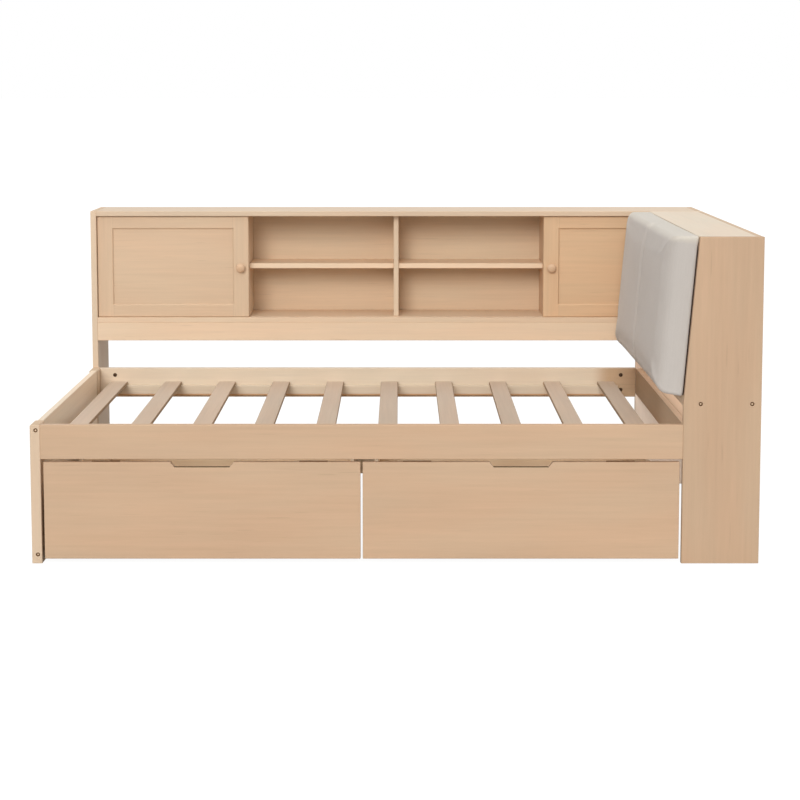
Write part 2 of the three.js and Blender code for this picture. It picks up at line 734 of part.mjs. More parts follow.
// A turned wooden knob: a foot on the door, a neck, and a flattened ball out along -Y
function knobGeometry() {
  const radius = KNOB_DIAMETER / 2;
  const halfDepth = KNOB_BALL_DEPTH / 2;
  const neck = KNOB_NECK / 2;
  const ballCentre = KNOB_LENGTH - halfDepth;
  const neckAngle = Math.asin(neck / radius);
  const foot = neck + KNOB_FOOT_FLARE;
  const profile = [new THREE.Vector2(0, 0), new THREE.Vector2(foot, 0)];
  for (let i = 0; i <= KNOB_STEPS; i += 1) {
    const angle = neckAngle + ((Math.PI - neckAngle) * i) / KNOB_STEPS;
    const across = i === KNOB_STEPS ? 0 : radius * Math.sin(angle);
    profile.push(new THREE.Vector2(across, ballCentre - halfDepth * Math.cos(angle)));
  }
  return new THREE.LatheGeometry(profile, KNOB_SIDES).rotateX(Math.PI);
}

// A caster's fork: a plate under the drawer, two ears and the axle between them
function forkShapes(x, y, plateTop) {
  const axleHeight = WHEEL_DIAMETER / 2;
  const plateLow = plateTop - FORK_PLATE_THICK;
  const earInner = WHEEL_WIDTH / 2 + WHEEL_SIDE_GAP;
  const earOuter = earInner + FORK_EAR_THICK;
  const plate = block(
    [x - earOuter, x + earOuter],
    [y - FORK_LENGTH / 2, y + FORK_LENGTH / 2],
    [plateLow, plateTop + CUT_OVERRUN],
  );
  const earTop = plateLow + CUT_OVERRUN;
  const earShape = new THREE.Shape();
  earShape.moveTo(-FORK_LENGTH / 2, earTop);
  earShape.absarc(0, axleHeight, FORK_EAR_RADIUS, Math.PI, Math.PI * 2, false);
  earShape.lineTo(FORK_LENGTH / 2, earTop);
  earShape.lineTo(-FORK_LENGTH / 2, earTop);
  const ears = [-earOuter, earInner].map((offset) => {
    const ear = new THREE.ExtrudeGeometry(earShape, {
      depth: FORK_EAR_THICK,
      bevelEnabled: false,
      curveSegments: FORK_EAR_STEPS,
    });
    ear.rotateX(Math.PI / 2).rotateZ(Math.PI / 2);
    return ear.translate(x + offset, y, 0);
  });
  const radius = AXLE_DIAMETER / 2;
  const axleLength = 2 * (earInner + CUT_OVERRUN);
  const axle = new THREE.CylinderGeometry(radius, radius, axleLength, AXLE_SIDES);
  axle.rotateZ(Math.PI / 2).translate(x, y, axleHeight);
  return [plate, ...ears, axle];
}

// A wheel turned about its bore, with a dished face on each side
function wheelGeometry() {
  const bore = WHEEL_BORE / 2;
  const radius = WHEEL_DIAMETER / 2;
  const half = WHEEL_WIDTH / 2;
  const hub = bore + WHEEL_HUB_WALL;
  const dish = radius - WHEEL_DISH_RIM;
  const points = [
    [bore, -half],
    [hub, -half],
    [dish, -half + WHEEL_DISH_DEPTH],
    [radius - WHEEL_RIM, -half],
    [radius - WHEEL_EDGE, -half],
    [radius, -half + WHEEL_EDGE],
    [radius, half - WHEEL_EDGE],
    [radius - WHEEL_EDGE, half],
    [radius - WHEEL_RIM, half],
    [dish, half - WHEEL_DISH_DEPTH],
    [hub, half],
    [bore, half],
    [bore, -half],
  ];
  const profile = points.map(([r, along]) => new THREE.Vector2(r, along));
  return new THREE.LatheGeometry(profile, WHEEL_SIDES).rotateZ(Math.PI / 2);
}

// Two drawers, each a notched front, a box and four casters
function addDrawers(group) {
  const openingWidth = headFront - postInner;
  const frontWidth = (openingWidth - 2 * DRAWER_SIDE_GAP - DRAWER_MID_GAP) / 2;
  const frontY = [front, front + BOARD_THICK];
  const frontZ = [FLOOR_CLEARANCE, railBottom - DRAWER_TOP_GAP];
  const boxRear = bedBack - BOX_REAR_GAP;
  const boxLow = WHEEL_DIAMETER + WHEEL_TOP_GAP + FORK_PLATE_THICK;
  const wallLow = boxLow + BOX_BOTTOM_THICK;
  const wallZ = [wallLow, wallLow + BOX_WALL_HEIGHT];
  const wheel = wheelGeometry();
  const starts = [
    ['left', postInner + DRAWER_SIDE_GAP],
    ['right', postInner + DRAWER_SIDE_GAP + frontWidth + DRAWER_MID_GAP],
  ];
  for (const [side, start] of starts) {
    const drawer = `${side}_drawer`;
    const frontX = [start, start + frontWidth];
    const middle = (frontX[0] + frontX[1]) / 2;
    const notch = new THREE.Shape();
    const splay = (NOTCH_TOP_WIDTH - NOTCH_BOTTOM_WIDTH) / 2;
    const overSplay = (splay * CUT_OVERRUN) / NOTCH_DEPTH;
    const notchTop = frontZ[1] + CUT_OVERRUN;
    notch.moveTo(middle - NOTCH_BOTTOM_WIDTH / 2, frontZ[1] - NOTCH_DEPTH);
    notch.lineTo(middle + NOTCH_BOTTOM_WIDTH / 2, frontZ[1] - NOTCH_DEPTH);
    notch.lineTo(middle + NOTCH_TOP_WIDTH / 2 + overSplay, notchTop);
    notch.lineTo(middle - NOTCH_TOP_WIDTH / 2 - overSplay, notchTop);
    const notchCut = uprightPlate(notch, BOARD_THICK + 2 * CUT_OVERRUN, 0);
    notchCut.translate(0, front - CUT_OVERRUN, 0);
    addBoard(group, `${drawer}_front`, wood, frontX, frontY, frontZ, { cuts: [notchCut] });

    const boxX = [frontX[0] + BOX_SIDE_INSET, frontX[1] - BOX_SIDE_INSET];
    const boxY = [frontY[1], boxRear];
    const leftX = [boxX[0], boxX[0] + BOX_WALL];
    const rightX = [boxX[1] - BOX_WALL, boxX[1]];
    addBoard(group, `${drawer}_left_wall`, boxWood, leftX, boxY, wallZ);
    addBoard(group, `${drawer}_right_wall`, boxWood, rightX, boxY, wallZ);
    const backY = [boxRear - BOX_WALL, boxRear];
    addBoard(group, `${drawer}_back_wall`, boxWood, [leftX[1], rightX[0]], backY, wallZ);

    const casterX = [boxX[0] + CASTER_FROM_SIDE, boxX[1] - CASTER_FROM_SIDE];
    const casterY = [boxY[0] + CASTER_FROM_END, boxY[1] - CASTER_FROM_END];
    const corners = casterX.flatMap((x) => casterY.map((y) => [x, y]));
    addBoard(group, `${drawer}_bottom`, boxWood, boxX, boxY, [boxLow, wallLow], {
      adds: corners.flatMap(([x, y]) => forkShapes(x, y, boxLow)),
    });
    corners.forEach(([x, y], i) => {
      const place = new THREE.Vector3(x, y, WHEEL_DIAMETER / 2);
      addPiece(group, `${side}_caster_wheel_${i + 1}`, wheel.clone(), wheelPlastic, place);
    });
  }
}

addEndFrame(daybed);
addRails(daybed);
addSlats(daybed);
addHeadboard(daybed);
addCushion(daybed);
addBookcase(daybed);
addDoors(daybed);
addDrawers(daybed);

export default daybed;
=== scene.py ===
# %% [markdown]
# # An L-shaped daybed in pale wood
#
# The daybed is a slatted single bed with two drawers under it, a padded backrest at one
# end and a bookcase with sliding doors along the back. Every board is already a solid in
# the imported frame. This notebook dresses them: it gives each board its own piece of
# wood, makes the cushion as cloth over foam with a stitched channel, and adds the bolts,
# nuts, knobs, wheels and felt strips.

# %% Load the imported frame
import math

import bmesh
import bpy
from mathutils import Matrix, Vector, noise


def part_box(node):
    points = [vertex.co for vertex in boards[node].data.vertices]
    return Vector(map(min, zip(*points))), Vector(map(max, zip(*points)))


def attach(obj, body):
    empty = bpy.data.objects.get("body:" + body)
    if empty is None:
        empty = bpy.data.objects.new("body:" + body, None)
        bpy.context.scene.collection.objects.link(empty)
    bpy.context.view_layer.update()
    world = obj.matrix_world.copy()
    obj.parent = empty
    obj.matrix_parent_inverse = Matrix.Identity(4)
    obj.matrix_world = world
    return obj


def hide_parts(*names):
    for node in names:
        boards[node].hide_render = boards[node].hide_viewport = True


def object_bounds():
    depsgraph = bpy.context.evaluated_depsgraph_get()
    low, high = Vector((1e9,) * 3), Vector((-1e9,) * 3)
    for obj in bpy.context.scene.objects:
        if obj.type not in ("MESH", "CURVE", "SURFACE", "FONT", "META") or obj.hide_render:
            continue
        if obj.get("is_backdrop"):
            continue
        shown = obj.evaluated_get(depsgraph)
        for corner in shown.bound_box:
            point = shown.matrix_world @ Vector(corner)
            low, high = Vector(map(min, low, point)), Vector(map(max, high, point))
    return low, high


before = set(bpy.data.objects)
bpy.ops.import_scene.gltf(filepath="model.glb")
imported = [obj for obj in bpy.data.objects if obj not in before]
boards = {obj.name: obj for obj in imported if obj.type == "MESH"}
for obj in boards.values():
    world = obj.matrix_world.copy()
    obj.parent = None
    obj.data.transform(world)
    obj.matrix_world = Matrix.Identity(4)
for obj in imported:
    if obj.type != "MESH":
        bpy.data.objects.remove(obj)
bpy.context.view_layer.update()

# %% [markdown]
# ## The camera
#
# The photograph looks straight at the long side, so that all upright edges stay upright.
# That needs a camera held almost level, with the film slid down to take in the floor.
# The slide is kept small here, because it also moves every other view, and a slight
# downward tilt does the rest. The two together put each corner within a few pixels.

# %% Set the camera
CAMERA_PLACE = (0.014, -5.502, 1.423)
CAMERA_TILT_DEG = 5.24
CAMERA_LENS = 74.82
CAMERA_SLIDE = -0.2

scene = bpy.context.scene
camera_data = bpy.data.cameras.new("camera")
camera_data.lens = CAMERA_LENS
camera_data.sensor_width = 36
camera_data.shift_y = CAMERA_SLIDE
camera = bpy.data.objects.new("camera", camera_data)
camera.location = CAMERA_PLACE
camera.rotation_euler = (math.radians(90 - CAMERA_TILT_DEG), 0, 0)
scene.collection.objects.link(camera)
scene.camera = camera
scene.view_settings.view_transform = "Standard"
print("camera", CAMERA_PLACE, "lens", CAMERA_LENS)

# %% [markdown]
# ## Node trees as written sums
#
# A finish is a sum of small patterns, and a sum is easier to read as a line of Python
# than as a web of links. So one small class wraps a socket and adds a Math node for each
# operator, and a second one adds any other node from its settings and its inputs.


# %% Write node trees as sums
class Value:
    """An output socket that can be added, multiplied and compared."""

    def __init__(self, sheet, socket):
        self.sheet = sheet
        self.socket = socket

    def _math(self, operation, *values):
        return self.sheet.node("ShaderNodeMath", {"operation": operation}, dict(enumerate(values)))

    def __add__(self, other):
        return self._math("ADD", self, other)

    def __sub__(self, other):
        return self._math("SUBTRACT", self, other)

    def __rsub__(self, other):
        return self._math("SUBTRACT", other, self)

    def __mul__(self, other):
        return self._math("MULTIPLY", self, other)

    def above(self, limit):
        return self._math("GREATER_THAN", self, limit)

    def below(self, limit):
        return self._math("LESS_THAN", self, limit)

    def larger(self, other):
        return self._math("MAXIMUM", self, other)

    def sine(self):
        return self._math("SINE", self)

    def size(self):
        return self._math("ABSOLUTE", self)

    __radd__ = __add__
    __rmul__ = __mul__


class Sheet:
    """A node tree, and the one way to add a node to it."""

    def __init__(self, tree):
        self.tree = tree
        tree.nodes.clear()

    def node(self, kind, settings=None, inputs=None, output=0):
        made = self.tree.nodes.new(kind)
        for name, value in (settings or {}).items():
            if name == "stops":
                self._set_stops(made.color_ramp, value)
            else:
                setattr(made, name, value)
        for name, value in (inputs or {}).items():
            if isinstance(value, Value):
                self.tree.links.new(value.socket, made.inputs[name])
            else:
                made.inputs[name].default_value = value
        return Value(self, made.outputs[output]) if len(made.outputs) else made

    @staticmethod
    def _set_stops(ramp, stops):
        while len(ramp.elements) < len(stops):
            ramp.elements.new(1)
        for element, (position, colour) in zip(ramp.elements, stops):
            element.position = position
            element.color = colour

    def place(self):
        """Where a point lies on the object, the same from every side."""
        return self.node("ShaderNodeTexCoord", output="Object")

    def bump(self, height, strength, distance):
        inputs = {"Height": height, "Strength": strength, "Distance": distance}
        return self.node("ShaderNodeBump", None, inputs)

    def part(self, vector, axis):
        return self.node("ShaderNodeSeparateXYZ", None, {0: vector}, output=axis)

    def stretched(self, vector, factors):
        settings = {"operation": "MULTIPLY"}
        return self.node("ShaderNodeVectorMath", settings, {0: vector, 1: factors})

    def speckle(self, vector, factors, detail=2.0, roughness=0.5):
        """Noise from -1 to 1, on a vector stretched by the factors."""
        inputs = {"Vector": self.stretched(vector, factors), "Scale": 1.0}
        inputs.update({"Detail": detail, "Roughness": roughness})
        return self.node("ShaderNodeTexNoise", None, inputs) * 2 - 1

    def grains(self, per_metre, detail=1.0, roughness=0.5):
        """Noise on the object that runs in no direction."""
        return self.speckle(self.place(), (per_metre,) * 3, detail, roughness)

    def smooth(self, value, low, high):
        """0 below low, 1 above high, and a soft step between."""
        settings = {"interpolation_type": "SMOOTHSTEP"}
        inputs = {"Value": value, "From Min": low, "From Max": high}
        return self.node("ShaderNodeMapRange", settings, inputs)

    def blend(self, share, first, second, mode="MIX"):
        """A colour between two colours."""
        settings = {"data_type": "RGBA", "blend_type": mode}
        inputs = {0: share, 6: first, 7: second}
        return self.node("ShaderNodeMix", settings, inputs, output=2)


def linear(red, green, blue):
    """A colour read off a screen, from 0 to 255, as the light it stands for."""
    shares = [channel / 255 for channel in (red, green, blue)]
    bent = [s / 12.92 if s <= 0.04045 else ((s + 0.055) / 1.055) ** 2.4 for s in shares]
    return (*bent, 1.0)


def scaled(colour, factor):
    return (*[min(1.0, channel * factor) for channel in colour[:3]], 1.0)


def new_finish(name):
    material = bpy.data.materials.new(name)
    material.use_nodes = True
    return material, Sheet(material.node_tree)


def close_finish(sheet, inputs):
    shader = sheet.node("ShaderNodeBsdfPrincipled", None, inputs)
    sheet.node("ShaderNodeOutputMaterial", None, {"Surface": shader})


print("a screen colour of 212, 180, 145 is", [round(c, 3) for c in linear(212, 180, 145)])

# %% [markdown]
# ## Floor and light
#
# The picture is a studio cut-out: pure white all round, with even light. The deep
# compartments show where the rest comes from: only a soft band under each top board is
# dark, so the main light is low and frontal, about 22 degrees up. A white dome gives the
# even part, and three wide suns give the direction, because a sun is as bright on the
# bookcase as on the bed in front of it. A weak strip lights the hollow behind the head
# rail, which is bright in the picture. The floor shows the camera mostly its own white
# and only a share of the light that reaches it, so it stays white and takes a shadow.
# Reflections see the white dome, but not the floor's own white, which would grey the
# boards that face sideways.

# %% Make the floor and the sky
DOME_STRENGTH = 0.5
FLOOR_SIZE = 400.0
FLOOR_SHADOW_SHARE = 0.25
FLOOR_GREY = 0.6
FLOOR_OWN_LIGHT = 1.25


def seen_by(sheet, *kinds):
    """1 for rays of any of some kinds, such as those that come from the camera."""
    path = sheet.node("ShaderNodeLightPath", output=f"Is {kinds[0]} Ray")
    outputs = path.socket.node.outputs
    for kind in kinds[1:]:
        path = path.larger(Value(sheet, outputs[f"Is {kind} Ray"]))
    return path


world = bpy.data.worlds.new("studio")
world.use_nodes = True
scene.world = world
sky = Sheet(world.node_tree)
dome = sky.node("ShaderNodeBackground", None, {"Color": (1, 1, 1, 1), "Strength": DOME_STRENGTH})
backdrop = sky.node("ShaderNodeBackground", None, {"Color": (1, 1, 1, 1), "Strength": 1.0})
direct = seen_by(sky, "Camera", "Glossy", "Transmission")
shown = sky.node("ShaderNodeMixShader", None, {0: direct, 1: dome, 2: backdrop})
sky.node("ShaderNodeOutputWorld", None, {"Surface": shown})


def new_piece(name, points, edges=(), faces=()):
    data = bpy.data.meshes.new(name)
    data.from_pydata(points, edges, faces)
    piece = bpy.data.objects.new(name, data)
    scene.collection.objects.link(piece)
    return piece


floor_turns = ((-1, -1), (1, -1), (1, 1), (-1, 1))
floor_corners = [(x * FLOOR_SIZE / 2, y * FLOOR_SIZE / 2, 0) for x, y in floor_turns]
floor = new_piece("floor", floor_corners, faces=[(0, 1, 2, 3)])
floor_finish, paint = new_finish("floor_white")
lit = paint.node("ShaderNodeBsdfDiffuse", None, {"Color": (*[FLOOR_GREY] * 3, 1)})
own = paint.node("ShaderNodeEmission", None, {
    "Color": (1, 1, 1, 1), "Strength": FLOOR_OWN_LIGHT,
})
own_share = seen_by(paint, "Camera", "Transmission") * (1 - FLOOR_SHADOW_SHARE)
mixed = paint.node("ShaderNodeMixShader", None, {0: own_share, 1: lit, 2: own})
paint.node("ShaderNodeOutputMaterial", None, {"Surface": mixed})
floor.data.materials.append(floor_finish)
floor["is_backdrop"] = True
print("a floor", FLOOR_SIZE, "m wide under a dome of strength", DOME_STRENGTH)

# %% Hang the lamps
SUNS = {
    "front_sun": {"up": 22, "from_left": 12, "width": 24, "strength": 1.49},
    "high_sun": {"up": 78, "from_left": 60, "width": 50, "strength": 0.76},
    "right_sun": {"up": 18, "from_left": -68, "width": 50, "strength": 0.5},
}
STRIP_PLACE = (0.975, -0.1065, 0.470)
STRIP_SIZE = (0.17, 0.95)
STRIP_WATTS = 0.31


def hung(name, kind, strength):
    data = bpy.data.lights.new(name, kind)
    data.energy = strength
    lamp = bpy.data.objects.new(name, data)
    scene.collection.objects.link(lamp)
    return lamp


for name, facts in SUNS.items():
    sun = hung(name, "SUN", facts["strength"])
    sun.data.angle = math.radians(facts["width"])
    turn = math.radians(-facts["from_left"])
    sun.rotation_euler = (math.radians(90 - facts["up"]), 0, turn)
    print(name, facts["up"], "degrees up")

strip = hung("hollow_strip", "AREA", STRIP_WATTS)
strip.data.shape = "RECTANGLE"
strip.data.size, strip.data.size_y = STRIP_SIZE
strip.location = STRIP_PLACE
strip.visible_camera = False
print("a strip of", STRIP_WATTS, "watts under the headboard's floor board")

# %% [markdown]
# ## Wood, one board at a time
#
# A board is recognised by the run of its fibres. They lie along its length, so the
# pattern is noise that is stretched a long way in one direction: broad soft clouds of
# tone, long streaks, fine pores and now and then a short dark fleck. One material for
# all would run the same streak through every joint, so each board gets its own copy,
# turned to its own grain and shifted to its own place in the tree. Its two sawn ends
# take the stain a little more deeply. A few places get painted shade where shadow falls
# in the bed, and one inner face under the headboard gets painted light and is paler:
# each of them is a thin box in space, with a tint that may fade along one direction.

# %% Make a wood finish
GRAIN_TURN = {"X": (0, 0, 0), "Y": (0, 0, math.radians(-90)), "Z": (0, math.radians(90), 0)}
CUT_FACE_DEPTH = 0.0009
END_STAIN = (0.94, 0.92, 0.89, 1)
REDDER = (1.02, 0.975, 0.955, 1)
WOOD_SHINE = 0.25
GRAIN_BUMP = 0.22
GRAIN_DEPTH = 0.0002
CLOUD_SHARE, STREAK_SHARE, FIBRE_SHARE = 0.3, 0.34, 0.12
TONE_SPREAD = 0.12
FLECK_SHARE, FLECK_DARKNESS = 0.16, 0.45
FLECK_FROM, FLECK_TO = 0.52, 0.75
PORES_PER_METRE = 300.0
FIBRE_ROUGHNESS, END_ROUGHNESS = 0.04, 0.25
# How many blotches of each pattern a metre holds, along the fibres and across them.
PATTERNS = {
    "clouds": (1.6, 7.0), "hue": (2.3, 10.0), "streaks": (3.2, 95.0),
    "fibres": (14.0, 700.0), "flecks": (9.0, 210.0),
}

WOODS = {
    "wood": {"colour": linear(216, 184, 152), "roughness": 0.45, "depth": 1.0},
    "light_wood": {"colour": linear(217, 194, 167), "roughness": 0.45, "depth": 0.9},
    "pale_wood": {"colour": linear(228, 203, 174), "roughness": 0.45, "depth": 0.9},
    "rail_wood": {"colour": linear(222, 206, 183), "roughness": 0.45, "depth": 0.9},
    "slat_wood": {"colour": linear(204, 185, 165), "roughness": 0.5, "depth": 1.3},
    "backing_wood": {"colour": linear(215, 191, 161), "roughness": 0.5, "depth": 1.0},
    "box_wood": {"colour": linear(230, 209, 180), "roughness": 0.6, "depth": 1.1},
}


def run_of_grain(sheet, grain, number):
    """Object coordinates turned so that X runs along the fibres, at a place of its own."""
    offset = (number * 1.37 % 9, number * 2.11 % 7, number * 3.73 % 8)
    inputs = {"Vector": sheet.place(), "Location": offset, "Rotation": GRAIN_TURN[grain]}
    return sheet.node("ShaderNodeMapping", None, inputs)


def sawn_ends(sheet, grain, low, high):
    """1 on the two faces that cut the fibres."""
    axis = "XYZ".index(grain)
    along = sheet.part(sheet.place(), axis)
    first = along.below(low[axis] + CUT_FACE_DEPTH)
    last = along.above(high[axis] - CUT_FACE_DEPTH)
    return first.larger(last)


def in_boxes(sheet, boxes):
    """1 inside any of some boxes, each given by its lowest and its highest corner."""
    place = sheet.place()
    axes = [sheet.part(place, axis) for axis in range(3)]
    inside = 0.0 * axes[0]
    for low, high in boxes:
        here = 1.0 + 0.0 * axes[0]
        for along, first, last in zip(axes, low, high):
            here = here * along.above(first) * along.below(last)
        inside = inside.larger(here)
    return inside


def pattern(sheet, run, kind, detail, roughness=0.5):
    """Noise that is drawn out along the fibres."""
    along, across = PATTERNS[kind]
    return sheet.speckle(run, (along, across, across), detail, roughness)


def wood_tone(sheet, run, colour, depth):
    """The colour of a board and the height of its fibres, from the run of its grain."""
    clouds = pattern(sheet, run, "clouds", detail=1.0)
    hue = pattern(sheet, run, "hue", detail=1.0)
    streaks = pattern(sheet, run, "streaks", detail=3.0, roughness=0.6)
    fibres = pattern(sheet, run, "fibres", detail=2.0)
    flecks = sheet.smooth(pattern(sheet, run, "flecks", detail=0.0), FLECK_FROM, FLECK_TO)
    tone = 0.5 + clouds * (CLOUD_SHARE * depth) + streaks * (STREAK_SHARE * depth)
    tone = tone + fibres * FIBRE_SHARE
    pale = sheet.blend(tone, scaled(colour, 1 - TONE_SPREAD), scaled(colour, 1 + TONE_SPREAD))
    warm = sheet.blend(1.0, pale, REDDER, "MULTIPLY")
    tinted = sheet.blend(sheet.smooth(hue, -0.5, 0.5), warm, pale)
    marked = sheet.blend(flecks * FLECK_SHARE, tinted, scaled(colour, FLECK_DARKNESS))
    height = streaks * 0.5 + fibres - flecks
    return marked, height


def close_wood(sheet, colour, roughness, height):
    close_finish(sheet, {
        "Base Color": colour, "Roughness": roughness,
        "Normal": sheet.bump(height, GRAIN_BUMP, GRAIN_DEPTH),
        "Specular IOR Level": WOOD_SHINE,
    })


def wood_finish(name, kind, grain, low, high, number, shade=1.0, patch=None):
    material, sheet = new_finish(name)
    facts = WOODS[kind]
    run = run_of_grain(sheet, grain, number)
    colour, height = wood_tone(sheet, run, scaled(facts["colour"], shade), facts["depth"])
    ends = sawn_ends(sheet, grain, low, high)
    pores = sheet.speckle(run, (PORES_PER_METRE,) * 3, detail=1.0)
    stained = sheet.blend(1.0, colour, END_STAIN, "MULTIPLY")
    colour = sheet.blend(ends * (0.75 + pores * 0.25), colour, stained)
    # A patch paints shade or light: its tint multiplies the colour inside some boxes.
    if patch:
        tint, boxes, fade = patch
        in_patch = in_boxes(sheet, boxes)
        if fade:
            axis, start, end, lost = fade
            along = sheet.part(sheet.place(), axis)
            in_patch = in_patch * (1 - sheet.smooth(along, start, end) * lost)
        tinted = sheet.blend(1.0, colour, tint, "MULTIPLY")
        colour = sheet.blend(in_patch * (0.9 + pores * 0.1), colour, tinted)
        ends = ends.larger(in_patch)
    roughness = facts["roughness"] + height * FIBRE_ROUGHNESS + ends * END_ROUGHNESS
    close_wood(sheet, colour, roughness, height)
    return material


print("woods:", ", ".join(WOODS))

# %% [markdown]
# ## Which way each board's grain runs
#
# A joiner cuts every board with its fibres along its length, because wood is strong that
# way: uprights have upright grain, and rails, shelves and drawer fronts have level grain.
# The shade after each name makes that board lighter or darker. In part it is the board's
# own tone, and in part painted light and shade, such as the lighter foot panel and the
# darker right partition. Below the list come the patches of painted shade and light, such
# as the painted shade on the slats' sides and on the floors of the finger notches.

# %% Give every board its finish
SLAT_NAMES = [f"slat_{i + 1}" for i in range(10)]
SLAT_SHADES = 0.02
DRAWER_SIDES = ("left", "right")

grain_of = {
    "front_left_post": ("Z", "light_wood", 1.0),
    "rear_left_post": ("Z", "light_wood", 1.0),
    "foot_panel": ("Y", "rail_wood", 1.2),
    "front_rail": ("X", "wood", 0.87),
    "back_rail": ("X", "rail_wood", 1.04),
    "front_ledger": ("X", "light_wood", 1.0),
    "back_ledger": ("X", "rail_wood", 0.98),
    "headboard_front_side": ("Z", "wood", 0.81),
    "headboard_rear_side": ("Z", "rail_wood", 1.15),
    "headboard_rail": ("Y", "pale_wood", 1.05),
    "headboard_ledge": ("Y", "pale_wood", 1.08),
    "headboard_floor_board": ("Y", "light_wood", 0.98),
    "headboard_outer_panel": ("Z", "light_wood", 0.97),
    "headboard_top": ("Y", "rail_wood", 1.05),
    "backrest_board": ("Y", "backing_wood", 1.0),
    "bookcase_left_side": ("Z", "light_wood", 1.05),
    "bookcase_right_side": ("Z", "light_wood", 0.99),
    "bookcase_top": ("X", "light_wood", 1.0),
    "bookcase_floor": ("X", "pale_wood", 0.98),
    "bookcase_apron": ("X", "pale_wood", 1.04),
    "bookcase_stretcher": ("X", "light_wood", 0.96),
    "bookcase_back": ("X", "backing_wood", 1.0),
    "bookcase_divider": ("Z", "pale_wood", 0.97),
    "left_partition": ("Z", "light_wood", 1.01),
    "right_partition": ("Z", "wood", 0.92),
    "left_shelf": ("X", "pale_wood", 1.13),
    "right_shelf": ("X", "pale_wood", 1.13),
}
for name in SLAT_NAMES:
    grain_of[name] = ("Y", "slat_wood", 1.0 + SLAT_SHADES * math.sin(3.1 * len(grain_of)))
for side in DRAWER_SIDES:
    grain_of[f"{side}_drawer_front"] = ("X", "wood", 0.855)
    grain_of[f"{side}_drawer_left_wall"] = ("Y", "box_wood", 1.0)
    grain_of[f"{side}_drawer_right_wall"] = ("Y", "box_wood", 0.99)
    grain_of[f"{side}_drawer_back_wall"] = ("X", "box_wood", 0.98)

NOTCH_DEPTH = 0.016
LEDGER_STRIP = 0.006
BOX_MARGIN = 1e-4
# Painted shade on the slats' sides, which lie in shadow between the slats.
SLAT_SIDE_PAINTED_SHADE = (0.6, 0.52, 0.42, 1)
# Painted shadow of the cushion on the head rail's sides, fading out along Y.
HEAD_RAIL_PAINTED_SHADOW = (0.48, 0.42, 0.36, 1)
# Painted shadow of the headboard on the back rail's inner face.
BACK_RAIL_PAINTED_SHADOW = (0.69, 0.55, 0.43, 1)
# Painted shade along the foot of the back ledger, under the slats.
LEDGER_FOOT_PAINTED_SHADE = (0.8, 0.55, 0.38, 1)
# Painted shade on the floor of each finger notch, which lies in shadow under the rail.
NOTCH_FLOOR_PAINTED_SHADE = (0.34, 0.37, 0.33, 1)
# Painted light: the headboard's rear side is paler on its inner face, where light reaches it.
REAR_SIDE_PAINTED_LIGHT = (1.13, 1.13, 1.25, 1)
# A fade is an axis, where it starts and ends along it, and the share that is lost.
HEAD_RAIL_FADE = (1, -0.08, -0.34, 0.42)
BACK_RAIL_FADE = (0, 0.765, 0.695, 1.0)


def part_of_box(name, axis, first, last):
    """A board's box, with one side replaced by a narrower stretch."""
    low, high = [Vector(corner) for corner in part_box(name)]
    low[axis], high[axis] = first, last
    margin = Vector((BOX_MARGIN,) * 3)
    return low - margin, high + margin


def both_faces(name, axis):
    low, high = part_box(name)
    return [
        part_of_box(name, axis, low[axis], low[axis] + CUT_FACE_DEPTH),
        part_of_box(name, axis, high[axis] - CUT_FACE_DEPTH, high[axis]),
    ]


def low_face(name, axis, depth):
    """The strip of a board's box next to its lowest face along an axis."""
    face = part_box(name)[0][axis]
    return part_of_box(name, axis, face, face + depth)


# Painted shade on both sides of every slat.
patch_of = {name: (SLAT_SIDE_PAINTED_SHADE, both_faces(name, 0), None) for name in SLAT_NAMES}
# Painted shadow of the cushion on the head rail.
patch_of["headboard_rail"] = (HEAD_RAIL_PAINTED_SHADOW, both_faces("headboard_rail", 0), HEAD_RAIL_FADE)
# Painted shade on the lowest strip of the back ledger.
patch_of["back_ledger"] = (LEDGER_FOOT_PAINTED_SHADE, [low_face("back_ledger", 2, LEDGER_STRIP)], None)
# Painted shadow on the back rail's inner face, darker towards the headboard end.
low, high = low_face("back_rail", 1, CUT_FACE_DEPTH)
low.x = BACK_RAIL_FADE[2]
patch_of["back_rail"] = (BACK_RAIL_PAINTED_SHADOW, [(low, high)], BACK_RAIL_FADE)
# Painted light on the inner face of the headboard's rear side.
inner_face = low_face("headboard_rear_side", 1, CUT_FACE_DEPTH)
patch_of["headboard_rear_side"] = (REAR_SIDE_PAINTED_LIGHT, [inner_face], None)
# Painted shade on each notch floor.
for side in DRAWER_SIDES:
    name = f"{side}_drawer_front"
    floor_of_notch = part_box(name)[1].z - NOTCH_DEPTH
    low, high = part_of_box(name, 2, floor_of_notch - CUT_FACE_DEPTH, floor_of_notch)
    low.y += CUT_FACE_DEPTH
    patch_of[name] = (NOTCH_FLOOR_PAINTED_SHADE, [(low, high)], None)


def dress(name, finish):
    boards[name].data.materials.clear()
    boards[name].data.materials.append(finish)


for number, (name, (grain, kind, shade)) in enumerate(grain_of.items()):
    patch = patch_of.get(name)
    dress(name, wood_finish(f"{name}_wood", kind, grain, *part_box(name), number, shade, patch))
print(len(grain_of), "boards have their own wood")

# %% [markdown]
# ## Sliding doors
#
# A shaker door is a frame round a panel. The two uprights of the frame, the stiles, run
# the full height, and the rails fit between them. The door is one solid, so the finish
# tells the parts apart: it turns the grain upright in the stiles and leaves a hairline
# where a rail meets a stile. A router leaves a slope round the panel, which catches the
# light below it and lies in shade above it, so the door is copied and those four edges
# are bevelled.

